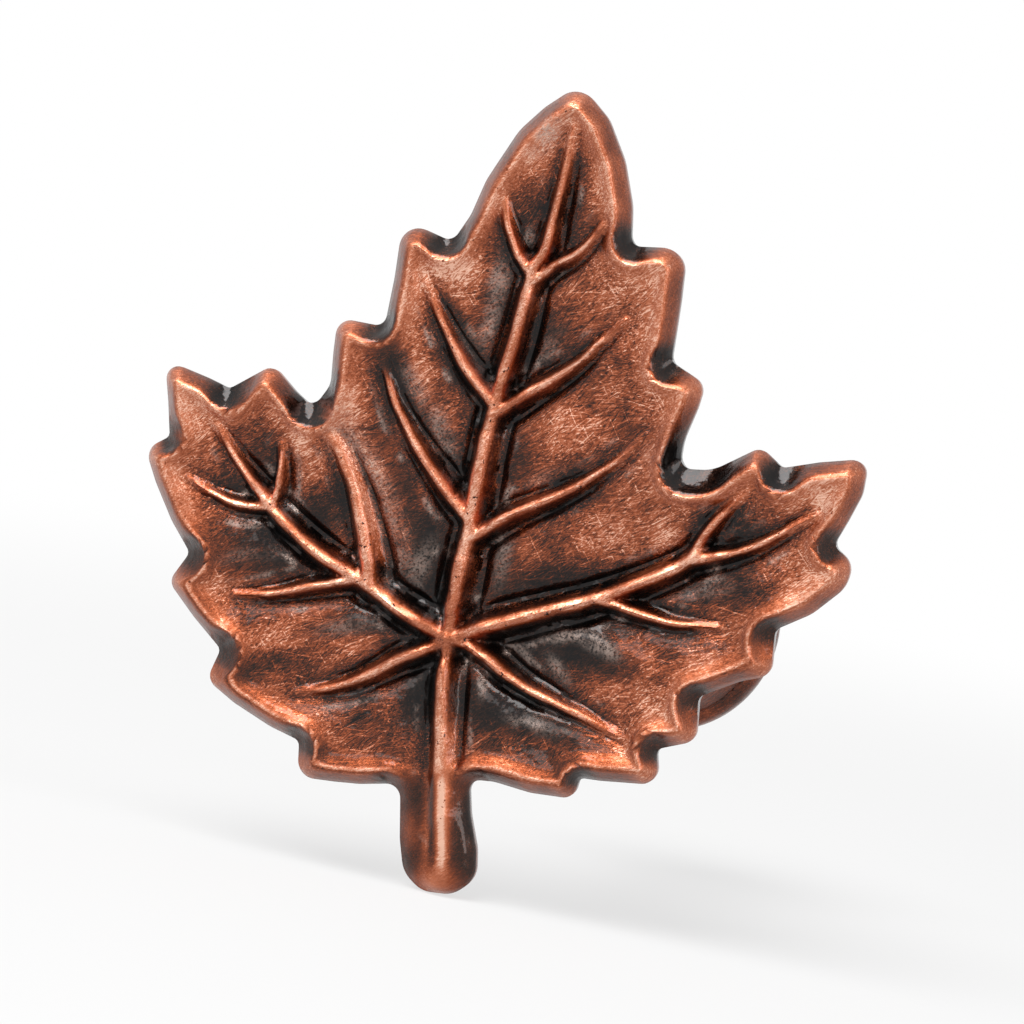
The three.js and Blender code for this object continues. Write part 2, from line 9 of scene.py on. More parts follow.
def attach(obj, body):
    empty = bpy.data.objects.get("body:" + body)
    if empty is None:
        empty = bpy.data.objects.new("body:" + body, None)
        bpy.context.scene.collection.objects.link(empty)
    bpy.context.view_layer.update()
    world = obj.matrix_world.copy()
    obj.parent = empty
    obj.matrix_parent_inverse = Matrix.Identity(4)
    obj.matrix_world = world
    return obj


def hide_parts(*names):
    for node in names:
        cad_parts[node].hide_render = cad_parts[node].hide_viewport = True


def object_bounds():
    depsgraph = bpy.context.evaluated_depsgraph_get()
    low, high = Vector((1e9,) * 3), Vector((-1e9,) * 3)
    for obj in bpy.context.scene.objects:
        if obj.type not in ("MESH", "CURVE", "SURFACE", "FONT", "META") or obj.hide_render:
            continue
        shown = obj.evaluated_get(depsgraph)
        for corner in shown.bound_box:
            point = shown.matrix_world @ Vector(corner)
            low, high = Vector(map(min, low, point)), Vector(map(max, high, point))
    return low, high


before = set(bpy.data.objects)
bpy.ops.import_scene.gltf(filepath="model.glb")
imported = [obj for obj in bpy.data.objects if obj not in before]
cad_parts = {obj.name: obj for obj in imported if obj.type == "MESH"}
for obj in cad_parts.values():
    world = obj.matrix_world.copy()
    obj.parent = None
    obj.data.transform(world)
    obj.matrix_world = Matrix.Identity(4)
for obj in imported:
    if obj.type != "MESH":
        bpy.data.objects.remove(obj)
CAD_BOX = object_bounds()
MM = 0.001
FINE = 1.0

# sizes, in millimetres
PROJECTION = 30.0
RIM_HEIGHT = 1.4
EDGE_DEPTH = 1.3
BACK_INSET = 0.3
PARTING = PROJECTION - RIM_HEIGHT
BACK = PARTING - EDGE_DEPTH
FOOT_RADIUS, FOOT_EDGE, FOOT_ROUND = 8.0, 2.4, 0.9
NECK_RADIUS, NECK_FILLET, FLARE_LENGTH = 4.7, 1.4, 10.0
HOLE_RADIUS, HOLE_DEPTH, HOLE_CHAMFER, HOLE_TIP = 1.7, 12.0, 0.5, 1.02
POST_SIDES = 96

# Corners of the leaf's edge in X and Z with their radii, clockwise from the tip
OUTLINE = [
    (-4.1, 34.4, 1.6), (-1.9, 32.6, 2.5), (-0.4, 30.2, 4), (0.6, 27.5, 4), (1.0, 25.0, 0.7),
    (4.6, 25.5, 1.5), (4.8, 22.3, 5), (4.9, 18.4, 0.6), (7.3, 17.4, 1.1), (7.1, 15.8, 3),
    (6.6, 13.7, 4), (6.6, 11.9, 0.8),
    (8.8, 12.2, 3), (11.6, 14.2, 0.8), (13.2, 13.2, 0.6), (15.5, 14.0, 4), (18.5, 14.8, 1.5),
    (18.5, 12.5, 2), (17.9, 10.7, 3), (17.3, 9.1, 0.5), (18.7, 8.2, 1.3), (18.5, 6.6, 2),
    (16.7, 4.6, 3), (14.6, 3.2, 0.6), (14.8, 0.3, 1), (13.0, -0.4, 3), (10.5, -1.9, 0.6),
    (10.8, -4.7, 0.9), (8.4, -5.7, 0.5), (8.9, -7.9, 1.4), (5.2, -8.4, 3), (3.8, -8.5, 0.4),
    (3.6, -9.9, 1.1), (0.8, -10.1, 4), (-1.7, -9.9, 3),
    (-3.4, -10.1, 0.9), (-2.9, -12.3, 4), (-2.1, -14.4, 3), (-1.8, -16.3, 2), (-3.1, -17.55, 1.8),
    (-5.2, -17.75, 1.8), (-6.6, -16.8, 2), (-7.2, -14.8, 4), (-7.8, -11.3, 0.9),
    (-10.5, -11.9, 4), (-12.2, -12.1, 4), (-14.7, -12.3, 1.2), (-15.0, -10.0, 0.5),
    (-17.1, -9.5, 4), (-19.8, -8.5, 3), (-21.9, -7.4, 0.9), (-21.3, -5.3, 0.5),
    (-23.5, -3.6, 4), (-25.6, -1.7, 0.8), (-24.5, 0.4, 0.5),
    (-26.1, 2.2, 4), (-27.6, 4.4, 4), (-28.7, 6.4, 1.1), (-27.2, 7.5, 0.4), (-27.7, 9.7, 2),
    (-28.4, 12.3, 1.3), (-25.3, 11.7, 2), (-23.7, 11.3, 0.5), (-21.1, 13.3, 0.8),
    (-19.4, 12.0, 2), (-17.9, 11.1, 1),
    (-17.0, 12.8, 1.5), (-17.2, 14.9, 3), (-17.3, 17.1, 1.2), (-14.1, 17.1, 0.7),
    (-14.0, 20.3, 5), (-14.1, 24.0, 1.3), (-10.6, 23.2, 0.8), (-9.7, 25.1, 3), (-9.1, 27.4, 3),
    (-8.7, 28.3, 2), (-7.5, 30.9, 4), (-6.1, 32.6, 4),
]
RIM = [(0, 0), (0.5, 0.88), (0.75, 1.26), (1.0, RIM_HEIGHT), (1.3, 1.3), (1.8, 1.06)]
TAB = [(0, 0), (0.5, 0.52), (0.75, 0.7), (1.0, 0.82), (1.3, 0.92), (1.8, 1.02), (3.4, 1.12)]
CREST_SHIFT = 0.25
DISH_DEPTH, DISH_REACH = 0.5, 3.0
STEM_TOP, STEM_END = np.array([-5.6, -9.6]), np.array([-4.0, -16.4])
STEM_HALF_WIDTH, STEM_BLEND = 3.4, 1.4

# Veins: half width at root and end, crest height, groove depth, and the centre line
VEINS = [
    ("midrib", [1.45, 1.05], [1.5, 1.3], [0.8, 0.65],
     [[-6.2, -1.4], [-6.1, 2.9], [-6.0, 6.8], [-5.9, 11.3], [-5.6, 14.9], [-5.1, 18.5], [-4.8, 22.6]]),
    ("midrib on the stem", [1.3, 1.2], [1.5, 1.5], [0.75, 0.15],
     [[-6.2, -1.4], [-5.8, -4.9], [-5.2, -8.5], [-4.8, -10.9], [-4.5, -12.8]]),
    ("end of the stem", [1.2, 1.6], [1.5, 1.1], [0.15, 0.0],
     [[-4.5, -12.6], [-4.3, -13.8], [-4.1, -15.0], [-4.0, -16.4]]),
    ("top vein", [1.0, 0.5], [1.3, 1.0], [0.65, 0.2],
     [[-4.8, 22.6], [-4.2, 23.9], [-4.0, 26.4], [-3.8, 29.0], [-3.7, 31.8]]),
    ("top left branch", [0.95, 0.4], [1.3, 1.05], [0.65, 0.2],
     [[-5.0, 22.2], [-6.1, 23.5], [-6.9, 25.0], [-7.7, 27.0]]),
    ("top right branch", [0.95, 0.4], [1.3, 1.1], [0.65, 0.2],
     [[-4.6, 21.8], [-3.6, 22.9], [-1.9, 24.2], [-0.6, 26.1]]),
    ("upper left side vein", [1.15, 0.35], [1.35, 0.85], [0.75, 0.2],
     [[-6.0, 13.8], [-8.1, 15.7], [-10.2, 18.3], [-11.8, 20.8]]),
    ("lower left side vein", [1.25, 0.35], [1.35, 0.85], [0.8, 0.2],
     [[-6.1, 6.2], [-8.3, 8.1], [-11.4, 11.3], [-13.2, 14.3], [-14.0, 16.4]]),
    ("upper right side vein", [1.15, 0.35], [1.35, 0.85], [0.75, 0.2],
     [[-5.8, 13.0], [-3.4, 15.0], [-0.9, 17.2], [1.8, 20.5]]),
    ("lower right side vein", [1.15, 0.35], [1.35, 0.85], [0.75, 0.2],
     [[-6.0, 5.0], [-3.4, 7.0], [0.5, 9.6], [3.2, 12.1], [4.4, 13.8]]),
    ("left main vein", [1.35, 1.0], [1.5, 1.25], [0.8, 0.6],
     [[-6.2, -1.5], [-9.1, -0.5], [-12.0, 0.8], [-15.5, 2.1], [-18.8, 4.0], [-19.8, 4.8]]),
    ("left lobe vein", [0.95, 0.35], [1.25, 0.9], [0.6, 0.15],
     [[-19.7, 4.8], [-21.5, 6.4], [-24.3, 9.3]]),
    ("left lobe upper branch", [0.85, 0.4], [1.25, 0.95], [0.6, 0.2],
     [[-19.3, 4.4], [-19.0, 6.6], [-19.3, 8.5]]),
    ("left lobe lower branch", [0.85, 0.35], [1.25, 0.95], [0.6, 0.15],
     [[-19.8, 4.4], [-21.7, 4.2], [-23.4, 4.6], [-25.2, 5.2]]),
    ("broad left branch", [1.5, 0.7], [1.4, 1.05], [0.8, 0.2],
     [[-12.0, 0.9], [-12.2, 2.0], [-12.9, 4.0], [-13.9, 6.4], [-15.2, 8.6], [-16.2, 9.8]]),
    ("left outer branch", [1.0, 0.35], [1.35, 0.85], [0.7, 0.2],
     [[-12.8, 1.0], [-14.8, 0.3], [-18.3, -1.0], [-20.9, -1.6]]),
    ("lower left vein", [1.25, 0.4], [1.45, 0.85], [0.8, 0.2],
     [[-6.4, -1.8], [-8.9, -3.3], [-11.9, -5.5], [-15.7, -7.0]]),
    ("right main vein", [1.35, 1.0], [1.5, 1.25], [0.8, 0.6],
     [[-6.0, -1.4], [-2.2, 0.5], [3.2, 3.0], [7.5, 5.6], [9.0, 6.9]]),
    ("right lobe upper branch", [0.95, 0.35], [1.25, 0.95], [0.6, 0.15],
     [[8.6, 6.6], [9.8, 9.1], [11.8, 11.8]]),
    ("right lobe vein", [0.95, 0.35], [1.25, 0.95], [0.65, 0.2],
     [[8.4, 6.3], [12.3, 8.0], [16.2, 10.9]]),
    ("right lower branch", [1.05, 0.35], [1.35, 0.85], [0.7, 0.2],
     [[3.0, 2.9], [5.7, 2.6], [8.2, 2.4], [11.2, 2.7]]),
    ("lower right vein", [1.25, 0.4], [1.45, 0.85], [0.8, 0.2],
     [[-6.0, -1.5], [-4.2, -1.8], [-0.8, -3.4], [2.5, -4.3], [6.5, -5.4]]),
]
SHOULDER, SHOULDER_RUN = 0.45, 0.3
CREASE_RISE = (2.2, 1.0)
VEIN_FLAT, VEIN_ROUND = 2.2, 3.0
UNEVEN, UNEVEN_SIZE = 0.12, 3.4
WANDER, WANDER_SIZE = 0.10, 1.5

# Painted sheen: grey reflections of the lamps painted onto the dark patina, placed as the pools are
PAINTED_SHEEN = [
    (-13.0, 6.8, 1.0, 4.6, 35, 1.0), (-8.8, 10.9, 0.6, 2.2, 30, 0.9), (-11.4, 14.0, 0.5, 1.8, 35, 0.5),
    (-7.0, 20.4, 0.6, 2.6, -5, 0.9), (-8.4, 17.0, 0.5, 2.0, 28, 0.6), (-5.2, 31.2, 0.7, 1.7, -25, 0.9),
    (-1.4, -1.7, 1.2, 0.5, -38, 1.3), (0.8, 0.1, 1.5, 0.4, 14, 1.3), (3.4, 0.1, 1.4, 0.45, -18, 1.3),
    (1.4, -2.1, 1.0, 0.4, -42, 0.9), (0.0, -5.7, 1.5, 0.5, -10, 0.6), (-3.5, -3.6, 0.3, 1.0, 10, 0.6),
    (-9.0, 1.8, 0.5, 2.4, -12, 0.5), (-3.6, 4.6, 0.5, 2.0, 0, 0.4), (-3.4, 17.2, 0.6, 1.8, -30, 0.4),
    (-17.4, 2.2, 1.8, 0.4, 25, 0.4), (-20.2, 1.4, 1.8, 0.4, 30, 0.2), (10.2, 5.0, 2.2, 0.5, 20, 0.4),
    (-12.6, -1.9, 2.4, 0.5, 22, 0.4), (-15.4, 9.5, 0.8, 1.3, 0, 0.5), (5.4, 13.0, 0.8, 1.4, -20, 0.3),
    (-7.4, -4.4, 0.4, 1.8, 0, 0.5), (-1.6, 9.6, 1.4, 0.5, 35, 0.3), (10.6, 13.0, 1.4, 0.7, 10, 0.3),
]

# Low swellings of the panels: centre X, Z, half sizes, turn in degrees, height
SWELLS = [
    (-1.2, -0.2, 2.2, 0.9, 20, 0.22), (2.6, 0.4, 1.8, 0.8, -10, 0.20), (5.6, -0.6, 2.4, 1.0, -20, 0.14),
    (-9.6, 2.8, 0.9, 3.2, -10, 0.16), (-8.4, 16.4, 0.8, 2.4, 25, 0.14), (-10.0, 9.6, 0.9, 3.2, 32, 0.14),
    (-0.6, -5.4, 2.6, 0.9, -15, 0.14), (-17.0, 7.4, 1.0, 2.4, 12, 0.12), (-5.4, 30.0, 0.9, 1.4, -20, 0.10),
]

# Dark pools of patina and rubbed places, with some lighter spots that are painted sheen: centre X, Z, half sizes,
# turn in degrees, strength
PATINA_AND_SHEEN_POOLS = [
    (-8.6, 2.0, 1.8, 4.2, -15, -0.44), (-9.2, 10.2, 1.2, 5.0, 38, -0.34), (-11.0, 7.8, 1.0, 5.0, 32, -0.38),
    (-5.2, 29.4, 1.4, 2.8, -10, 0.20), (-9.8, 20.6, 1.8, 2.8, 10, 0.20), (-0.8, 28.6, 1.0, 3.0, 0, 0.06),
    (-21.4, 1.4, 3.4, 2.0, 15, -0.12), (-11.0, -7.8, 3.2, 2.0, 0, -0.20), (-1.4, -6.0, 3.4, 1.8, -10, -0.16),
    (7.4, -2.4, 3.0, 1.8, 10, -0.10), (-24.8, 9.6, 1.8, 2.2, 0, 0.18), (16.4, 12.2, 2.0, 1.4, 20, 0.05),
    (-17.4, -3.6, 4.0, 2.2, 15, -0.12), (3.0, 0.0, 3.6, 1.8, 0, -0.20), (15.0, 6.4, 2.0, 2.4, 0, -0.05),
    (-13.4, 7.2, 1.1, 4.4, 35, 0.24), (-15.6, 11.4, 1.0, 1.6, 20, 0.12), (4.0, 6.6, 4.0, 1.6, 28, 0.21),
    (-10.4, -10.2, 4.0, 0.7, 0, -0.10),
    (-5.4, 28.6, 1.2, 2.4, -10, 0.11), (-9.6, 20.4, 1.6, 2.6, 10, 0.13), (-10.4, 12.4, 1.0, 2.6, 35, 0.18),
    (1.0, 21.6, 2.2, 2.6, 0, 0.05), (-24.8, 9.8, 1.6, 1.8, 0, 0.22), (-12.6, 14.2, 1.0, 3.2, 20, -0.30),
    (-21.8, 5.4, 1.3, 0.6, -10, -0.42), (-23.4, 1.8, 1.8, 2.4, 0, -0.10), (-15.8, 4.0, 1.2, 1.8, 0, -0.20),
    (2.4, -8.0, 3.0, 0.9, -5, -0.26), (12.6, 1.2, 2.2, 1.3, 20, -0.14), (-13.4, -10.6, 2.6, 0.9, 0, -0.22),
    (-19.4, -7.0, 2.6, 1.0, -20, -0.20), (-23.4, -2.4, 1.6, 1.2, -40, -0.16), (8.6, -5.2, 2.0, 1.0, 10, -0.12),
    (-19.0, 0.6, 2.4, 0.8, 20, -0.16), (-7.2, -6.4, 1.0, 2.4, 0, -0.12), (-8.4, -4.6, 1.2, 1.6, 0, -0.14),
    (-19.4, 3.0, 1.6, 0.8, 40, -0.20), (-1.2, 11.2, 3.2, 1.6, 30, -0.04), (1.6, 6.0, 5.0, 1.2, 28, -0.08),
    (-8.3, 15.6, 1.5, 3.5, 30, -0.42), (-7.0, 20.0, 1.2, 3.0, 0, -0.25), (-3.6, 18.0, 1.5, 3.0, -30, -0.30),
    (-4.0, 10.0, 1.3, 2.8, -20, -0.36), (-3.8, 3.4, 1.6, 3.2, 0, -0.40), (0.8, 3.6, 3.2, 1.0, 25, -0.34),
    (0.2, 0.0, 4.6, 1.3, 15, -0.42), (-0.2, -1.4, 3.6, 1.0, -25, -0.25), (3.6, -0.9, 3.0, 1.1, -10, -0.30),
    (-2.8, -4.4, 2.4, 2.4, 0, -0.48), (1.0, -5.3, 3.4, 1.0, -18, -0.42), (-7.6, -4.6, 1.3, 3.0, 0, -0.34),
    (-21.3, 1.4, 3.2, 1.8, 15, -0.17), (-16.5, 1.6, 2.6, 1.0, 20, -0.30), (-20.6, 7.0, 1.2, 1.8, 0, -0.38),
    (-16.6, 4.6, 1.6, 1.6, 0, -0.30), (-12.0, -1.6, 3.6, 0.9, 20, -0.34), (-17.4, -5.4, 2.6, 0.8, 25, -0.25),
    (11.0, 8.4, 1.2, 1.5, -30, -0.34), (10.5, 4.6, 3.6, 1.1, 20, -0.32), (-5.8, 26.6, 1.0, 2.4, 10, -0.30),
    (-2.8, 26.2, 0.9, 2.4, -8, -0.34), (-10.6, 23.0, 1.6, 2.6, 30, -0.10), (-24.6, 8.0, 2.0, 1.6, 30, -0.12),
    (-16.4, -3.2, 3.2, 1.5, 20, 0.15), (-17.6, 7.6, 1.4, 3.2, 15, 0.10), (5.2, 10.4, 2.0, 3.0, -30, 0.06),
    (4.4, 20.6, 1.6, 4.0, 5, 0.12), (15.6, 7.6, 2.6, 3.0, 0, 0.14), (8.0, -2.4, 4.0, 2.0, 20, 0.08),
    (1.0, 13.0, 2.5, 2.0, 30, 0.03), (-24.8, 3.0, 1.4, 3.4, 25, 0.10),
]

# Pools of patina and rubbed places on the stem, placed as the pools above
STEM_POOLS = [
    (-6.3, -11.8, 0.8, 1.4, 0, -0.12), (-2.6, -12.2, 0.7, 1.8, 0, -0.14), (-6.6, -13.8, 0.6, 1.0, 0, 0.12),
    (-6.1, -15.9, 0.9, 0.7, 20, -0.12), (-2.4, -15.6, 0.6, 1.0, 0, -0.10), (-4.8, -17.0, 1.0, 0.5, 0, 0.08),
]

# Notches where the wall runs out broader, with the added breadth in millimetres
BROAD_WALLS = [
    (7.4, 11.0, 2.4, 1.6, 10, 0.8), (13.5, 12.1, 1.3, 1.3, 0, 0.7), (16.6, 8.6, 1.2, 1.2, 0, 0.35),
    (13.8, 2.4, 1.3, 1.3, 0, 0.6), (-17.2, 10.4, 1.6, 1.5, 0, 0.75), (-23.0, 10.6, 1.4, 1.4, 0, 0.6),
    (-26.4, 7.5, 1.2, 1.2, 0, 0.4), (-23.6, 0.2, 1.3, 1.3, 0, 0.6), (-20.4, -5.3, 1.3, 1.4, 0, 0.9),
    (-14.2, -10.0, 1.2, 1.2, 0, 0.45), (-10.4, 22.6, 1.3, 1.3, 0, 0.4), (0.9, 24.4, 1.2, 1.2, 0, 0.3),
    (4.4, 17.4, 1.3, 1.3, 0, 0.6), (-14.1, 16.4, 1.2, 1.2, 0, 0.25), (9.9, -2.3, 1.2, 1.2, 0, 0.5),
    (8.0, -5.2, 1.2, 1.0, 0, 0.4),
]

# Darkest stretches of the wall, in the deep notches, placed as the pools are
DARK_WALLS = [
    (8.0, 11.8, 3.4, 2.0, 15, -0.26), (-17.6, 11.2, 2.2, 2.0, 0, -0.26), (13.8, 13.0, 1.6, 1.6, 0, -0.16),
    (-12.6, 23.2, 1.6, 1.4, 0, -0.14), (4.8, 18.0, 1.2, 1.6, 0, -0.14), (-23.6, 11.2, 1.6, 1.4, 0, -0.16),
    (1.4, 25.0, 1.4, 1.2, 0, -0.14), (-13.4, 17.6, 1.4, 1.4, 0, -0.14),
]


# plane shapes
def even_steps(points, step, closed):
    """Points at even steps along a polyline."""
    pts = np.asarray(points, float)
    if closed:
        pts = np.vstack([pts, pts[:1]])
    seg = np.hypot(*(pts[1:] - pts[:-1]).T)
    keep = np.r_[True, seg > 1e-9]
    pts, seg = pts[keep], seg[seg > 1e-9]
    along = np.r_[0, np.cumsum(seg)]
    count = max(1, round(along[-1] / step))
    at = np.linspace(0, along[-1], count + 1)
    if closed:
        at = at[:-1]
    return np.c_[np.interp(at, along, pts[:, 0]), np.interp(at, along, pts[:, 1])]


def rounded_loop(corners, step):
    """The leaf's edge: straight runs joined by arcs of each corner's radius."""
    c = np.array(corners, float)
    xy, out = c[:, :2], []
    for i in range(len(c)):
        here = xy[i]
        a, b = xy[i - 1] - here, xy[(i + 1) % len(c)] - here
        la, lb = np.hypot(*a), np.hypot(*b)
        a, b = a / la, b / lb
        half = math.acos(max(-1, min(1, float(a @ b)))) / 2
        run = min(0.48 * min(la, lb), c[i, 2] / math.tan(half))
        bend = run * math.tan(half)
        middle = here + (a + b) / np.hypot(*(a + b)) * run / math.cos(half)
        start, end = here + a * run - middle, here + b * run - middle
        t0 = math.atan2(start[1], start[0])
        turn = (math.atan2(end[1], end[0]) - t0 + math.pi) % (2 * math.pi) - math.pi
        for k in np.linspace(0, 1, 13):
            out.append(middle + bend * np.array([math.cos(t0 + turn * k), math.sin(t0 + turn * k)]))
    return even_steps(out, step, True)


def spline(points, step):
    """A smooth curve through the points, at even steps."""
    p = np.array(points, float)
    p = np.vstack([2 * p[0] - p[1], p, 2 * p[-1] - p[-2]])
    out = []
    for i in range(1, len(p) - 2):
        for t in np.linspace(0, 1, 16, endpoint=False):
            a, b, c, d = p[i - 1], p[i], p[i + 1], p[i + 2]
            out.append(0.5 * (2 * b + (c - a) * t + (2 * a - 5 * b + 4 * c - d) * t ** 2
                              + (3 * b - a - 3 * c + d) * t ** 3))
    out.append(p[-2])
    return even_steps(out, step, False)


def nearest(points, a, b):
    """Distance from each point to the nearest segment a-b, and where on the chain it is."""
    far = np.empty(len(points))
    place = np.empty(len(points))
    ab = b - a
    size = (ab ** 2).sum(1)
    for lo in range(0, len(points), 1500):
        p = points[lo:lo + 1500]
        ap = p[:, None] - a[None]
        t = np.clip((ap * ab).sum(2) / size, 0, 1)
        d = ((ap - t[..., None] * ab) ** 2).sum(2)
        k = d.argmin(1)
        rows = np.arange(len(p))
        far[lo:lo + 1500] = np.sqrt(d[rows, k])
        place[lo:lo + 1500] = (k + t[rows, k]) / len(a)
    return far, place


def inside(points, loop):
    """True for the points that lie inside the closed loop."""
    a, b = loop, np.roll(loop, -1, 0)
    result = np.zeros(len(points), bool)
    for lo in range(0, len(points), 2000):
        p = points[lo:lo + 2000]
        up = (a[None, :, 1] > p[:, 1:2]) != (b[None, :, 1] > p[:, 1:2])
        dz = b[:, 1] - a[:, 1]
        dz = np.where(dz == 0, 1e-12, dz)
        x = (b[:, 0] - a[:, 0])[None] * (p[:, 1:2] - a[None, :, 1]) / dz[None] + a[None, :, 0]
        result[lo:lo + 2000] = (up & (p[:, :1] < x)).sum(1) % 2 == 1
    return result


EDGE = rounded_loop(OUTLINE, 0.2 * FINE)
MEASURE = rounded_loop(OUTLINE, 0.25)
MEASURE_END = np.roll(MEASURE, -1, 0)
# Finish of the four loops of the wall below the parting line, and of the back and post; the wall's sheen values are
# painted sheen, grey reflection painted on
WALL = {"wear_and_painted_light": (0.47, 0.41, 0.38, 0.39), "scuff": (0.5,) * 4, "painted_sheen": (0.0, 0.15, 0.35, 0.4), "crest": (0.0,) * 4}
PLAIN = {"wear_and_painted_light": 0.42, "scuff": 0.5, "painted_sheen": 0.0, "crest": 0.0}
# Where the main veins meet, and how far the calmer finish round it reaches
HUB, HUB_SIZE = np.array([-6.1, -1.5]), 1.8
# The stem's ridge by height, and the wear across it, with the bright line beside the crest partly a painted
# highlight: shift from the ridge, half width, strength
STEM_RIDGE = np.array([(8.5, -5.2), (10.9, -4.8), (12.8, -4.5), (15.0, -4.1), (16.4, -4.0)])
STEM_WEAR_AND_HIGHLIGHT = [(0.20, 0.42, 0.75), (-0.46, 0.15, -0.30), (-0.95, 0.35, 0.26), (-2.2, 0.6, 0.08), (1.7, 0.7, -0.05)]
LINES = [spline(path, 0.3) for _, _, _, _, path in VEINS]


def soft_section(table):
    """A section's height by distance, with its corners slightly rounded."""
    d = np.linspace(-0.3, 3.7, 801)
    h = np.interp(np.maximum(d, 0), *np.array(table, float).T)
    w = np.hanning(35)
    smooth = np.convolve(np.pad(h, 17, mode="edge"), w / w.sum(), "valid")
    smooth = np.where(d < 0.12, h, smooth)
    return d, smooth


RIM_CURVE, TAB_CURVE = soft_section(RIM), soft_section(TAB)


def smooth_step(a, b, v):
    t = np.clip((v - a) / (b - a), 0, 1)
    return t * t * (3 - 2 * t)


def inward_of(points):
    """Place across the rim's section: 0 at the edge, 1 on the crest, then millimetres inward."""
    edge = nearest(points, MEASURE, MEASURE_END)[0]
    moved = points - np.array([CREST_SHIFT, 0])
    crest, _ = nearest(moved, MEASURE, MEASURE_END)
    close = crest < 2 * CREST_SHIFT
    crest[close] = np.where(inside(moved[close], MEASURE), crest[close], -crest[close])
    broad = 1 + pools(points, BROAD_WALLS)
    share = edge / np.maximum(1e-6, edge + np.maximum(0, broad - crest))
    return np.where(crest < broad, share ** broad, crest + 1 - broad)


def corner_of(loop):
    """How far each point of a loop stands out: about 1 on a tooth, -1 in a notch."""
    step = np.hypot(*(loop[1] - loop[0]))
    run = max(1, round(1.1 / step))
    ahead, behind = np.roll(loop, -run, 0) - loop, loop - np.roll(loop, run, 0)
    turn = behind[:, 0] * ahead[:, 1] - behind[:, 1] * ahead[:, 0]
    turn = -turn / (np.hypot(*ahead.T) * np.hypot(*behind.T))
    w = np.hanning(2 * run + 1)
    wide = np.r_[turn[-run:], turn, turn[:run]]
    return np.clip(np.convolve(wide, w / w.sum(), "valid") / 0.55, -1, 1)


def uneven(points):
    """Soft waviness of the cast panels, from -1 to 1."""
    return np.array([perlin.noise(Vector((x / UNEVEN_SIZE, z / UNEVEN_SIZE, 0.37))) for x, z in points])


def wander(points):
    """Small sideways shifts that take the veins off their drawn lines."""
    size = WANDER_SIZE
    return WANDER * np.array([(perlin.noise(Vector((x / size, z / size, 4.1))),
                               perlin.noise(Vector((x / size, z / size, 9.3)))) for x, z in points])


def pools(flat, places):
    """Sum of soft oval spots at each point of the face."""
    total = np.zeros(len(flat))
    for x, z, wide, high, turn, strength in places:
        c, n = math.cos(math.radians(turn)), math.sin(math.radians(turn))
        d = flat - np.array([x, z])
        u, v = (d[:, 0] * c + d[:, 1] * n) / wide, (d[:, 1] * c - d[:, 0] * n) / high
        total += strength * np.exp(-(u ** 2 + v ** 2) ** 1.5 * 0.7)
    return total


def carve(points):
    """Height of the carved face above the parting line, and the facts that the finish needs."""
    inward = inward_of(points)
    along = (STEM_END - STEM_TOP) / np.hypot(*(STEM_END - STEM_TOP))
    off = points - STEM_TOP
    side = np.abs(off[:, 0] * along[1] - off[:, 1] * along[0])
    stem = np.where(side > STEM_HALF_WIDTH, 0, smooth_step(0, STEM_BLEND, off @ along))
    rim = np.interp(inward, *RIM_CURVE) * (1 - stem) + np.interp(inward, *TAB_CURVE) * stem
    dish = DISH_DEPTH * (1 - stem) * (1 - np.exp(-np.maximum(0, inward - 1.8) / DISH_REACH))
    panel = rim - dish
    reach = smooth_step(0.8, 1.9, inward)
    hollow = np.zeros(len(points))
    lift = np.zeros(len(points))
    bell = np.zeros(len(points))
    crease = np.zeros(len(points))
    painted_glint_line = np.zeros(len(points))
    moved = points + wander(points)
    for (_, width, crest, groove, _), line in zip(VEINS, LINES):
        far, t = nearest(moved, line[:-1], line[1:])
        w = width[0] + (width[1] - width[0]) * t
        g = (groove[0] + (groove[1] - groove[0]) * t) * reach
        c = crest[0] + (crest[1] - crest[0]) * t
        out = np.maximum(0, far - w)
        run = CREASE_RISE[0] + (CREASE_RISE[1] - CREASE_RISE[0]) * t
        pillow = SHOULDER * np.exp(-out / SHOULDER_RUN) + (1 - SHOULDER) * np.exp(-out / run)
        hollow += (g * pillow) ** 4
        rise = np.maximum(0, c - panel + g)
        shape = np.maximum(0, 1 - (far / w) ** VEIN_FLAT) ** VEIN_ROUND
        lift += (rise * shape) ** 12
        bell = np.maximum(bell, shape * np.clip(rise / 0.5, 0, 1))
        deep = np.clip(g / 0.45, 0, 1) * np.clip(rise / 0.4, 0, 1)
        crease = np.maximum(crease, deep * np.where(far < w, smooth_step(0.5, 0.95, far / w), np.exp(-out / 0.5)))
        # Painted glint: a thin line along each groove's outer lip, where the finish paints a reflection
        painted_glint_line = np.maximum(painted_glint_line, deep * np.exp(-((out - 0.62) / 0.14) ** 2))
    hollow, lift = hollow ** 0.25, lift ** (1 / 12)
    calm = smooth_step(1.9, 3.2, inward) * (1 - stem) * (1 - np.clip(bell * 1.4, 0, 1))
    panel = panel + calm * (UNEVEN * uneven(points) + pools(points, SWELLS))
    return {"height": panel - hollow + lift, "inward": inward, "stem": stem, "bell": bell,
            "crease": crease, "painted_glint_line": painted_glint_line}


# points of the face
def spread(groups, loop):
    """Keeps the points of each group that stay clear of those before it."""
    kept, cells, size = [], {}, 0.5

    def near(x, z, gap):
        i, j = math.floor(x / size), math.floor(z / size)
        for a in (i - 1, i, i + 1):
            for b in (j - 1, j, j + 1):
                for q in cells.get((a, b), ()):
                    if (q[0] - x) ** 2 + (q[1] - z) ** 2 < gap * gap:
                        return True
        return False

    def store(x, z):
        kept.append((x, z))
        cells.setdefault((math.floor(x / size), math.floor(z / size)), []).append((x, z))

    for x, z in loop:
        store(x, z)
    for points, gap, least in groups:
        points = points[inside(points, loop)]
        for x, z in points[inward_of(points) > least]:
            if not near(x, z, gap):
                store(x, z)
    return np.array(kept)


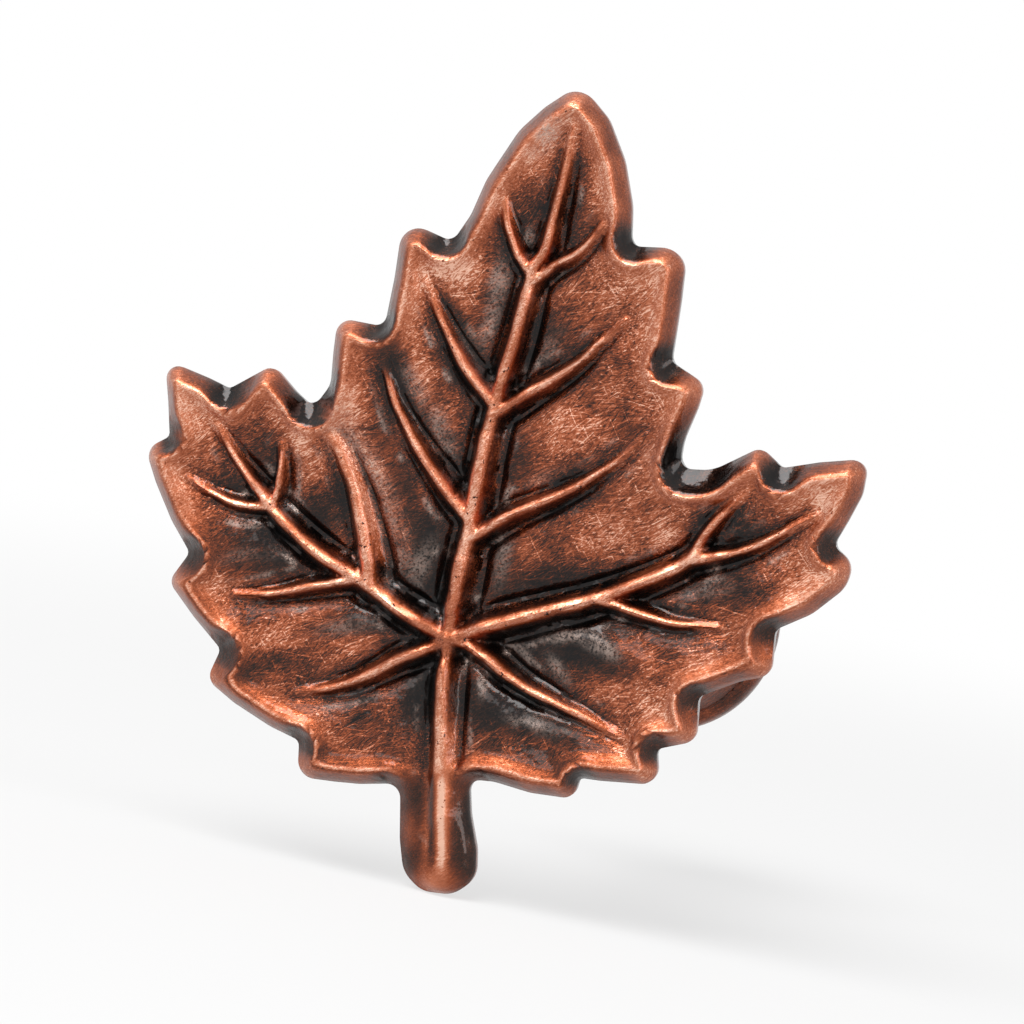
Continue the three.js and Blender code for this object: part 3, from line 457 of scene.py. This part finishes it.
def ring(inward):
    along = np.roll(EDGE, -1, 0) - np.roll(EDGE, 1, 0)
    along /= np.hypot(*along.T)[:, None]
    shift = np.array([CREST_SHIFT * min(1, inward), 0])
    at = EDGE
    for _ in range(4):
        broad = 1 + pools(at, BROAD_WALLS)
        far = broad * min(1, inward) ** (1 / broad) + max(0, inward - 1)
        at = EDGE + np.c_[along[:, 1], -along[:, 0]] * far[:, None] + shift
    return at


CORNER = corner_of(MEASURE)


def beside_veins(share):
    out = []
    for _, width, _, _, path in VEINS:
        line = spline(path, 0.2 * FINE)
        along = np.gradient(line, axis=0)
        along /= np.hypot(*along.T)[:, None]
        w = np.linspace(width[0], width[1], len(line))[:, None] * share
        out.append(line + np.c_[-along[:, 1], along[:, 0]] * w)
    return np.vstack(out)


def honeycomb(step):
    rows = np.arange(-19, 36, step * 0.866)
    cols = np.arange(-30, 20, step)
    out = [np.c_[cols + (step / 2 if i % 2 else 0), np.full(len(cols), z)] for i, z in enumerate(rows)]
    return np.vstack(out)


def face_points():
    groups = [(ring(1.0), 0.1 * FINE, 0.99)]
    groups += [(beside_veins(0), 0.09 * FINE, 1.1)]
    groups += [(beside_veins(s), 0.09 * FINE, 1.1) for s in (-1, 1)]
    groups += [(ring(d), 0.09 * FINE, d - 0.01) for d in (0.5, 0.75, 0.87, 1.13, 1.3, 0.62, 1.5, 1.8, 0.25)]
    groups += [(beside_veins(s), 0.1 * FINE, 1.1) for k in (0.2, 0.4, 0.6, 0.8, 1.12, 1.3) for s in (-k, k)]
    groups += [(honeycomb(0.21 * FINE), 0.14 * FINE, 1.3)]
    return spread(groups, EDGE)


def flat_triangles(points, loop_count, hole=None):
    """Triangles of scattered points inside the closed loop of their first points."""
    n = len(points)
    edges = [(i, (i + 1) % loop_count) for i in range(loop_count)]
    if hole:
        edges += [(hole[0] + i, hole[0] + (i + 1) % hole[1]) for i in range(hole[1])]
    made = geometry.delaunay_2d_cdt([Vector(p) for p in points], edges, [], 0, 1e-7, True)
    verts, _, faces, ids = made[0], made[1], made[2], made[3]
    origin = [i[0] if i else -1 for i in ids]
    flat = np.array([tuple(v) for v in verts])
    tri = np.array([f for f in faces if len(f) == 3])
    middle = flat[tri].mean(1)
    keep = inside(middle, points[:loop_count])
    if hole:
        keep &= ~inside(middle, points[hole[0]:hole[0] + hole[1]])
    tri = np.array(origin)[tri[keep]]
    return tri[(tri >= 0).all(1)]


# the casting
def post_profile():
    """Radius and depth from the leaf's back down the post, round the foot and up the hole."""
    out = []
    for a in np.linspace(0, math.pi / 2, 12):
        out.append((NECK_RADIUS + NECK_FILLET * (1 - math.sin(a)),
                    BACK - NECK_FILLET + NECK_FILLET * math.cos(a)))
    for d in np.linspace(BACK - NECK_FILLET, FOOT_EDGE + FLARE_LENGTH, 12)[1:-1]:
        out.append((NECK_RADIUS, d))
    for t in np.linspace(1, 0, 26):
        out.append((NECK_RADIUS + (FOOT_RADIUS - FOOT_ROUND - NECK_RADIUS) * (1 - t) ** 2.4,
                    FOOT_EDGE + t * FLARE_LENGTH))
    for a in np.linspace(math.pi, 0, 22)[1:]:
        out.append((FOOT_RADIUS - FOOT_ROUND + FOOT_ROUND * math.sin(a), (FOOT_EDGE / 2) * (1 - math.cos(a))))
    for r in np.linspace(FOOT_RADIUS - FOOT_ROUND, HOLE_RADIUS + HOLE_CHAMFER, 9)[1:]:
        out.append((r, 0.0))
    out.append((HOLE_RADIUS, HOLE_CHAMFER))
    for d in np.linspace(HOLE_CHAMFER, HOLE_DEPTH, 9)[1:]:
        out.append((HOLE_RADIUS, d))
    return out


def leaf_mesh():
    flat = face_points()
    n, edge_n = len(flat), len(EDGE)
    facts = carve(flat)
    facts["height"][:edge_n] = 0
    front = flat_triangles(flat, edge_n)
    verts = [np.c_[flat[:, 0], -(PARTING + facts["height"]), flat[:, 1]]]
    faces = [front]

    along = np.roll(EDGE, -1, 0) - np.roll(EDGE, 1, 0)
    along /= np.hypot(*along.T)[:, None]
    inner = np.c_[along[:, 1], -along[:, 0]]
    start = n
    loops = [np.arange(edge_n)]
    for share, depth in ((0.1, 0.4), (0.35, 0.85), (0.7, 1.18), (1.0, EDGE_DEPTH)):
        at = EDGE + inner * BACK_INSET * share
        verts.append(np.c_[at[:, 0], np.full(edge_n, -(PARTING - depth)), at[:, 1]])
        loops.append(np.arange(start, start + edge_n))
        start += edge_n
    for a, b in zip(loops[:-1], loops[1:]):
        faces.append(np.c_[a, np.roll(a, -1), np.roll(b, -1)])
        faces.append(np.c_[a, np.roll(b, -1), b])

    sides = POST_SIDES
    turn = np.arange(sides) * 2 * math.pi / sides
    profile = post_profile()
    back_loop = EDGE + inner * BACK_INSET
    ring0 = np.c_[np.cos(turn), np.sin(turn)] * profile[0][0]
    fill = honeycomb(1.2)
    fill = fill[inside(fill, back_loop)]
    fill = fill[(nearest(fill, back_loop, np.roll(back_loop, -1, 0))[0] > 0.5)
                & (np.hypot(*fill.T) > profile[0][0] + 0.5)]
    back_flat = np.vstack([back_loop, ring0, fill])
    back_tri = flat_triangles(back_flat, edge_n, (edge_n, sides))
    ids = np.r_[loops[-1], np.arange(start, start + sides + len(fill))]
    faces.append(ids[back_tri][:, ::-1])
    verts.append(np.c_[back_flat[edge_n:, 0], np.full(sides + len(fill), -BACK), back_flat[edge_n:, 1]])
    last = np.arange(start, start + sides)
    start += sides + len(fill)
    for r, d in profile[1:]:
        verts.append(np.c_[np.cos(turn) * r, np.full(sides, -d), np.sin(turn) * r])
        here = np.arange(start, start + sides)
        start += sides
        faces.append(np.c_[last, np.roll(last, -1), np.roll(here, -1)][:, ::-1])
        faces.append(np.c_[last, np.roll(here, -1), here][:, ::-1])
        last = here
    verts.append(np.array([[0, -(HOLE_DEPTH + HOLE_TIP), 0]]))
    faces.append(np.c_[last, np.roll(last, -1), np.full(sides, start)][:, ::-1])
    return np.vstack(verts) * MM, np.vstack(faces), flat, facts


def stem_wear_and_highlight(flat):
    """Wear across the stem: a bright line on its ridge, partly rubbed metal and partly a painted highlight, dark
    flanks and a rubbed tip.
    """
    x, z = flat.T
    off = x - np.interp(-z, *STEM_RIDGE.T)
    across = sum(strength * np.exp(-((off - shift) / half) ** 2) for shift, half, strength in STEM_WEAR_AND_HIGHLIGHT)
    tip = 0.42 * smooth_step(-14.8, -16.6, z) * np.exp(-(off / 1.5) ** 2)
    return 0.32 + across * (1 - smooth_step(-15.0, -16.6, z)) + tip + pools(flat, STEM_POOLS)


def finish_values(flat, facts):
    """What the finish is like at each point of the face, painted sheen and highlights included, each value from 0
    to 1.
    """
    inward, bell, stem, crease = facts["inward"], facts["bell"], facts["stem"], facts["crease"]
    place = nearest(flat, MEASURE, MEASURE_END)[1]
    corner = np.interp(place * len(MEASURE), np.arange(len(MEASURE) + 1), np.r_[CORNER, CORNER[0]])
    corner = corner * np.exp(-(inward / 1.9) ** 2) * (1 - stem)
    # Patina pools and rubbed places; the lighter spots among them are painted sheen
    base = 0.60 + pools(flat, PATINA_AND_SHEEN_POOLS) + 0.12 * np.exp(-((inward - 1.6) / 0.7) ** 2) + 0.12 * corner
    base = np.clip(base, 0.04, 0.85)
    wear_and_painted_light = base * (1 - 0.95 * crease)
    wear_and_painted_light = wear_and_painted_light * (1 - stem) + stem_wear_and_highlight(flat) * stem
    vein = 0.46 * smooth_step(0.36, 0.62, bell) + 0.34 * smooth_step(0.70, 0.90, bell)
    vein += 0.07 * smooth_step(0.93, 1.0, bell)
    hub = np.exp(-((flat - HUB) ** 2).sum(1) / HUB_SIZE ** 2)
    vein = vein * (1 - 0.45 * stem) * (1 - 0.30 * hub)
    wear_and_painted_light = np.maximum(wear_and_painted_light, vein)
    outer = 0.49 + 0.17 * smooth_step(0.4, 0.9, inward) + np.where(corner > 0, 0.24, 0.36) * corner
    outer += pools(flat, DARK_WALLS)
    wear_and_painted_light = np.where(inward < 0.85, outer * (1 - stem) + wear_and_painted_light * stem, wear_and_painted_light)
    # The bead's bright line is partly rubbed metal and partly a painted highlight, bright all round the edge
    bead_wear_and_highlight = np.exp(-((inward - 1.06) / 0.17) ** 2) * (1 - stem)
    wear_and_painted_light = np.maximum(wear_and_painted_light, 0.98 * bead_wear_and_highlight)
    scuff = (0.6 + 0.4 * smooth_step(0.1, 0.45, base)) * (0.45 + 0.55 * smooth_step(1.2, 2.6, inward))
    scuff *= (1 - 0.3 * stem) * (1 - 0.55 * smooth_step(0.1, 0.6, bell))
    # Painted sheen: grey reflections painted on the patina in the listed spots, kept off creases and vein tops
    painted_sheen = np.clip(pools(flat, PAINTED_SHEEN), 0, 1) * (1 - crease) * (1 - smooth_step(0.0, 0.2, bell))
    # Painted glint lines along the groove lips, broken up by noise
    broken = smooth_step(0.02, 0.34, uneven(flat * 2.3 + 7.7))
    painted_sheen = np.maximum(painted_sheen, 0.9 * broken * facts["painted_glint_line"] * (1 - smooth_step(0.1, 0.4, bell)))
    crest = np.maximum(smooth_step(0.5, 0.9, bell), 0.8 * bead_wear_and_highlight)
    return {"wear_and_painted_light": wear_and_painted_light, "scuff": scuff, "painted_sheen": painted_sheen, "crest": crest}


def wall_wear():
    """Wear of the wall along the edge: rubbed teeth and dark notches."""
    turn = corner_of(EDGE)
    return np.where(turn > 0, 0.20, 0.36) * turn + pools(EDGE, DARK_WALLS)


def add_piece():
    verts, faces, flat, facts = leaf_mesh()
    mesh = bpy.data.meshes.new("leaf_casting")
    mesh.from_pydata(verts.tolist(), [], faces.tolist())
    mesh.validate()
    obj = bpy.data.objects.new("leaf_casting", mesh)
    bpy.context.scene.collection.objects.link(obj)
    bm = bmesh.new()
    bm.from_mesh(mesh)
    bmesh.ops.recalc_face_normals(bm, faces=bm.faces)
    bm.to_mesh(mesh)
    bm.free()
    for name, values in finish_values(flat, facts).items():
        whole = np.full(len(mesh.vertices), PLAIN[name], np.float32)
        whole[:len(flat)] = values
        for k, wall in enumerate(WALL[name]):
            first = len(flat) + k * len(EDGE)
            whole[first:first + len(EDGE)] = wall + (wall_wear() if name == "wear_and_painted_light" else 0)
        mesh.attributes.new(name, "FLOAT", "POINT").data.foreach_set("value", whole)
    mesh.shade_smooth()
    mesh.set_sharp_from_angle(angle=math.radians(42))
    return obj


# materials
# Strokes of the brush: noise scale, turn in radians, stretch
BRIGHT_STROKES = ((13500, 0.72, 34), (14500, 1.0, 30), (13000, 1.32, 32))
DARK_STROKES = ((12000, 0.85, 30), (13200, 1.18, 26), (12500, 0.5, 28))
LONG_STROKES = ((7200, 0.95, 60), (7600, -0.65, 54), (7400, 1.5, 58))
# Colour and roughness from dark patina to rubbed metal
COPPER = [
    (0.0, (0.004, 0.003, 0.003)),
    (0.22, (0.030, 0.011, 0.006)),
    (0.42, (0.118, 0.026, 0.009)),
    (0.62, (0.290, 0.064, 0.020)),
    (0.82, (0.52, 0.165, 0.080)),
    (1.0, (0.86, 0.50, 0.36)),
]
ROUGHNESS = [(0.0, 0.20), (0.35, 0.30), (0.6, 0.40), (0.85, 0.43), (1.0, 0.32)]
# Colour of the painted sheen
PAINTED_SHEEN_COLOUR = (0.40, 0.300, 0.255)
COAT, COAT_ROUGHNESS = 0.5, 0.11
# The floor's shade and glow as the camera sees it, and where it turns to plain white, in metres
FLOOR_MATT, FLOOR_SHADE, FLOOR_GLOW = 0.80, 0.18, 0.68
FADE_START, FADE_END = 0.06, 0.20


def new_material(name):
    mat = bpy.data.materials.new(name)
    mat.use_nodes = True
    mat.node_tree.nodes.clear()
    return mat, mat.node_tree


def node(tree, kind, **values):
    made = tree.nodes.new(kind)
    for key, value in values.items():
        if key in made.inputs:
            made.inputs[key].default_value = value
        else:
            setattr(made, key, value)
    return made


def math_node(tree, op, a, b=None, clamp=False):
    made = tree.nodes.new("ShaderNodeMath")
    made.operation, made.use_clamp = op, clamp
    for i, v in enumerate((a, b)):
        if v is None:
            continue
        if isinstance(v, (int, float)):
            made.inputs[i].default_value = v
        else:
            tree.links.new(v, made.inputs[i])
    return made.outputs[0]


def noise(tree, coords, scale, detail, rough):
    made = tree.nodes.new("ShaderNodeTexNoise")
    made.inputs["Scale"].default_value = scale
    made.inputs["Detail"].default_value = detail
    made.inputs["Roughness"].default_value = rough
    tree.links.new(coords, made.inputs["Vector"])
    return made.outputs["Fac"]


def ramp(tree, value, stops):
    made = tree.nodes.new("ShaderNodeValToRGB")
    while len(made.color_ramp.elements) < len(stops):
        made.color_ramp.elements.new(0.5)
    for element, (pos, colour) in zip(made.color_ramp.elements, stops):
        element.position = pos
        element.color = colour + (1,)
    tree.links.new(value, made.inputs[0])
    return made.outputs[0]


def mix_colour(tree, factor, link, plain):
    """The linked colour, taken towards a plain one by the factor."""
    made = tree.nodes.new("ShaderNodeMix")
    made.data_type, made.blend_type = "RGBA", "MIX"
    tree.links.new(factor, made.inputs[0])
    tree.links.new(link, made.inputs[6])
    made.inputs[7].default_value = plain + (1,)
    return made.outputs[2]


def turned(tree, coords, turn, stretch):
    """Coordinates turned about the leaf's normal and drawn out along one direction."""
    mapping = tree.nodes.new("ShaderNodeMapping")
    mapping.vector_type = "TEXTURE"
    mapping.inputs["Rotation"].default_value = (0, turn, 0)
    mapping.inputs["Scale"].default_value = (1, 1, stretch)
    tree.links.new(coords, mapping.inputs["Vector"])
    return mapping.outputs[0]


def bent(tree, coords, scale, amount):
    """Coordinates pushed about by a soft noise, so that straight strokes curve a little."""
    made = tree.nodes.new("ShaderNodeTexNoise")
    made.inputs["Scale"].default_value = scale
    made.inputs["Detail"].default_value = 1.0
    tree.links.new(coords, made.inputs["Vector"])
    add = tree.nodes.new("ShaderNodeVectorMath")
    add.operation = "MULTIPLY_ADD"
    add.inputs[1].default_value = (amount,) * 3
    tree.links.new(made.outputs["Color"], add.inputs[0])
    tree.links.new(coords, add.inputs[2])
    return add.outputs[0]


def span(tree, value, low, high):
    made = tree.nodes.new("ShaderNodeMapRange")
    made.interpolation_type = "SMOOTHSTEP"
    made.inputs["From Min"].default_value = low
    made.inputs["From Max"].default_value = high
    tree.links.new(value, made.inputs["Value"])
    return made.outputs["Result"]


def scratches(tree, coords, settings, low=0.55, high=0.70):
    """Fine strokes in several directions, each about 1 where a stroke lies."""
    total = None
    for scale, turn, stretch in settings:
        fine = noise(tree, turned(tree, coords, turn, stretch), scale, 1.5, 0.5)
        line = span(tree, fine, low, high)
        total = line if total is None else math_node(tree, "MAXIMUM", total, line)
    return total


def antique_copper():
    mat, tree = new_material("antique_copper")
    link = tree.links.new
    coords = node(tree, "ShaderNodeTexCoord").outputs["Object"]
    # Wear, with painted highlights on the bead and the stem's ridge and painted sheen spots
    wear_and_painted_light = node(tree, "ShaderNodeAttribute", attribute_name="wear_and_painted_light").outputs["Fac"]
    scuff = node(tree, "ShaderNodeAttribute", attribute_name="scuff").outputs["Fac"]
    crest = node(tree, "ShaderNodeAttribute", attribute_name="crest").outputs["Fac"]
    # Painted sheen, grey reflections painted onto the patina
    painted_sheen = node(tree, "ShaderNodeAttribute", attribute_name="painted_sheen").outputs["Fac"]

    flow = bent(tree, coords, 140, 0.0020)
    cloud = noise(tree, coords, 300, 5.0, 0.62)
    grain = noise(tree, coords, 6200, 3.0, 0.62)
    bright = scratches(tree, flow, BRIGHT_STROKES)
    dark = scratches(tree, flow, DARK_STROKES)
    long = scratches(tree, flow, LONG_STROKES, 0.67, 0.73)
    sparks = span(tree, noise(tree, coords, 8200, 1.0, 0.5), 0.66, 0.74)
    bright = math_node(tree, "ADD", bright, math_node(tree, "ADD", long, sparks))
    nicks = noise(tree, coords, 2900, 2.0, 0.6)
    pits = math_node(tree, "MULTIPLY", span(tree, nicks, 0.665, 0.70), crest)

    patches = math_node(tree, "MULTIPLY", math_node(tree, "SUBTRACT", cloud, 0.5), 1.3)
    specks = math_node(tree, "MULTIPLY", math_node(tree, "SUBTRACT", grain, 0.5), 0.60)
    strokes = math_node(tree, "MULTIPLY", math_node(tree, "SUBTRACT", bright, dark), 0.27)
    varied = math_node(tree, "ADD", patches, math_node(tree, "ADD", specks, strokes))
    level = math_node(tree, "ADD", wear_and_painted_light, math_node(tree, "MULTIPLY", varied, scuff))
    level = math_node(tree, "SUBTRACT", level, math_node(tree, "MULTIPLY", pits, 0.6), True)

    colour = ramp(tree, level, COPPER)
    # Painted sheen: the grey sheen colour mixed over the patina, broken up by cloud and grain
    painted_sheen_share = math_node(tree, "MULTIPLY", painted_sheen, span(tree, cloud, 0.36, 0.60))
    painted_sheen_share = math_node(tree, "MULTIPLY", painted_sheen_share, span(tree, grain, 0.34, 0.56))
    painted_sheen_share = math_node(tree, "MULTIPLY", painted_sheen_share, 0.95)
    colour = mix_colour(tree, painted_sheen_share, colour, PAINTED_SHEEN_COLOUR)
    rough = ramp(tree, level, [(place, (value,) * 3) for place, value in ROUGHNESS])
    fine = math_node(tree, "ADD", math_node(tree, "MULTIPLY", bright, 0.5), math_node(tree, "MULTIPLY", grain, 0.6))
    fine = math_node(tree, "SUBTRACT", fine, math_node(tree, "MULTIPLY", dark, 0.5))
    fine = math_node(tree, "MULTIPLY", fine, scuff)
    fine = math_node(tree, "SUBTRACT", fine, math_node(tree, "MULTIPLY", pits, 2.0))
    pebbled = node(tree, "ShaderNodeBump", Strength=0.6, Distance=0.00009)
    link(noise(tree, coords, 1300, 2.0, 0.5), pebbled.inputs["Height"])
    bump = node(tree, "ShaderNodeBump", Strength=0.35, Distance=0.00003)
    link(fine, bump.inputs["Height"])
    link(pebbled.outputs[0], bump.inputs["Normal"])
    shader = node(tree, "ShaderNodeBsdfPrincipled")
    shader.inputs["Metallic"].default_value = 1.0
    shader.inputs["Specular IOR Level"].default_value = 0.5
    shader.inputs["Coat Weight"].default_value = COAT
    shader.inputs["Coat Roughness"].default_value = COAT_ROUGHNESS
    link(colour, shader.inputs["Base Color"])
    link(rough, shader.inputs["Roughness"])
    link(bump.outputs[0], shader.inputs["Normal"])
    link(pebbled.outputs[0], shader.inputs["Coat Normal"])
    out = node(tree, "ShaderNodeOutputMaterial")
    link(shader.outputs[0], out.inputs[0])
    return mat


def floor_material():
    """Pale floor that takes the shadow, and turns to plain white away from the object."""
    mat, tree = new_material("pale_floor")
    coords = node(tree, "ShaderNodeNewGeometry").outputs["Position"]
    length = tree.nodes.new("ShaderNodeVectorMath")
    length.operation = "LENGTH"
    tree.links.new(coords, length.inputs[0])
    away = tree.nodes.new("ShaderNodeMapRange")
    away.interpolation_type = "SMOOTHSTEP"
    away.inputs["From Min"].default_value = FADE_START
    away.inputs["From Max"].default_value = FADE_END
    tree.links.new(length.outputs["Value"], away.inputs["Value"])
    path = node(tree, "ShaderNodeLightPath")
    seen = math_node(tree, "MAXIMUM", path.outputs["Is Camera Ray"], path.outputs["Is Glossy Ray"])
    matt = node(tree, "ShaderNodeBsdfDiffuse", Color=(FLOOR_MATT,) * 3 + (1,))
    shade = node(tree, "ShaderNodeBsdfDiffuse", Color=(FLOOR_SHADE,) * 3 + (1,))
    glow = node(tree, "ShaderNodeEmission", Color=(1, 1, 1, 1), Strength=FLOOR_GLOW)
    lit = node(tree, "ShaderNodeAddShader")
    tree.links.new(shade.outputs[0], lit.inputs[0])
    tree.links.new(glow.outputs[0], lit.inputs[1])
    white = node(tree, "ShaderNodeEmission", Color=(1, 1, 1, 1), Strength=1.0)
    near = node(tree, "ShaderNodeMixShader")
    tree.links.new(away.outputs["Result"], near.inputs[0])
    tree.links.new(lit.outputs[0], near.inputs[1])
    tree.links.new(white.outputs[0], near.inputs[2])
    mix = node(tree, "ShaderNodeMixShader")
    tree.links.new(seen, mix.inputs[0])
    tree.links.new(matt.outputs[0], mix.inputs[1])
    tree.links.new(near.outputs[0], mix.inputs[2])
    out = node(tree, "ShaderNodeOutputMaterial")
    tree.links.new(mix.outputs[0], out.inputs[0])
    return mat


# camera, light, floor
AZIMUTH, ELEVATION, ROLL = (math.radians(a) for a in (17.0, 5.0, 10.0))
TARGET = Vector((-3.19, -30.0, 7.26)) * MM
DISTANCE = 0.35
SENSOR, IMAGE_WIDTH, PIXELS_PER_MM = 36, 1024, 15.9
LENS = PIXELS_PER_MM * DISTANCE / MM / IMAGE_WIDTH * SENSOR
LAMP_AIM = Vector((-0.003, -0.028, 0.007))
# Place, size and watts
LAMPS = {
    "key": ((-0.15, -0.25, 0.50), (0.44, 0.32), 4.2),
    "side": ((0.50, -0.22, 0.24), (0.16, 0.40), 0.8),
    "front": ((-0.19, -0.56, 0.20), (0.20, 0.16), 0.25),
}
WORLD_LIGHT = 0.45
FLOOR_HALF, FLOOR_GAP = 6.0, 0.00002


def add_camera():
    sa, ca, se, ce = math.sin(AZIMUTH), math.cos(AZIMUTH), math.sin(ELEVATION), math.cos(ELEVATION)
    back = Vector((sa * ce, -ca * ce, se))
    right = Vector((ca, sa, 0))
    up = back.cross(right)
    cr, sr = math.cos(ROLL), math.sin(ROLL)
    x, y = right * cr + up * sr, up * cr - right * sr
    data = bpy.data.cameras.new("camera")
    data.lens, data.sensor_width = LENS, SENSOR
    data.clip_start, data.clip_end = 0.01, 20
    cam = bpy.data.objects.new("camera", data)
    m = Matrix((x, y, back)).transposed().to_4x4()
    m.translation = TARGET + back * DISTANCE
    cam.matrix_world = m
    bpy.context.scene.collection.objects.link(cam)
    bpy.context.scene.camera = cam


def area_light(name, place, size, power):
    data = bpy.data.lights.new(name, "AREA")
    data.shape, data.size, data.size_y = "RECTANGLE", size[0], size[1]
    data.energy = power
    obj = bpy.data.objects.new(name, data)
    obj.location = place
    aim = LAMP_AIM - Vector(place)
    obj.rotation_mode = "QUATERNION"
    obj.rotation_quaternion = aim.to_track_quat("-Z", "Y")
    bpy.context.scene.collection.objects.link(obj)


def add_world():
    world = bpy.data.worlds.new("world")
    world.use_nodes = True
    tree = world.node_tree
    tree.nodes.clear()
    path = node(tree, "ShaderNodeLightPath")
    plain = node(tree, "ShaderNodeBackground", Color=(1, 1, 1, 1), Strength=1.0)
    light = node(tree, "ShaderNodeBackground", Color=(1, 1, 1, 1), Strength=WORLD_LIGHT)
    mix = node(tree, "ShaderNodeMixShader")
    seen = math_node(tree, "MAXIMUM", path.outputs["Is Camera Ray"], path.outputs["Is Glossy Ray"])
    seen = math_node(tree, "MAXIMUM", seen, path.outputs["Is Transmission Ray"])
    tree.links.new(seen, mix.inputs[0])
    tree.links.new(light.outputs[0], mix.inputs[1])
    tree.links.new(plain.outputs[0], mix.inputs[2])
    out = node(tree, "ShaderNodeOutputWorld")
    tree.links.new(mix.outputs[0], out.inputs[0])
    bpy.context.scene.world = world


def add_floor(z):
    mesh = bpy.data.meshes.new("floor")
    s = FLOOR_HALF
    mesh.from_pydata([(-s, -s, z), (s, -s, z), (s, s, z), (-s, s, z)], [], [(0, 1, 2, 3)])
    obj = bpy.data.objects.new("floor", mesh)
    obj.data.materials.append(floor_material())
    bpy.context.scene.collection.objects.link(obj)


add_camera()
leaf = add_piece()
leaf.data.materials.append(antique_copper())
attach(leaf, "root")
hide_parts("leaf_knob")

add_world()
add_floor(CAD_BOX[0][2] - FLOOR_GAP)
for lamp, (place, size, power) in LAMPS.items():
    area_light(lamp, place, size, power)
bpy.context.scene.view_settings.view_transform = "Standard"
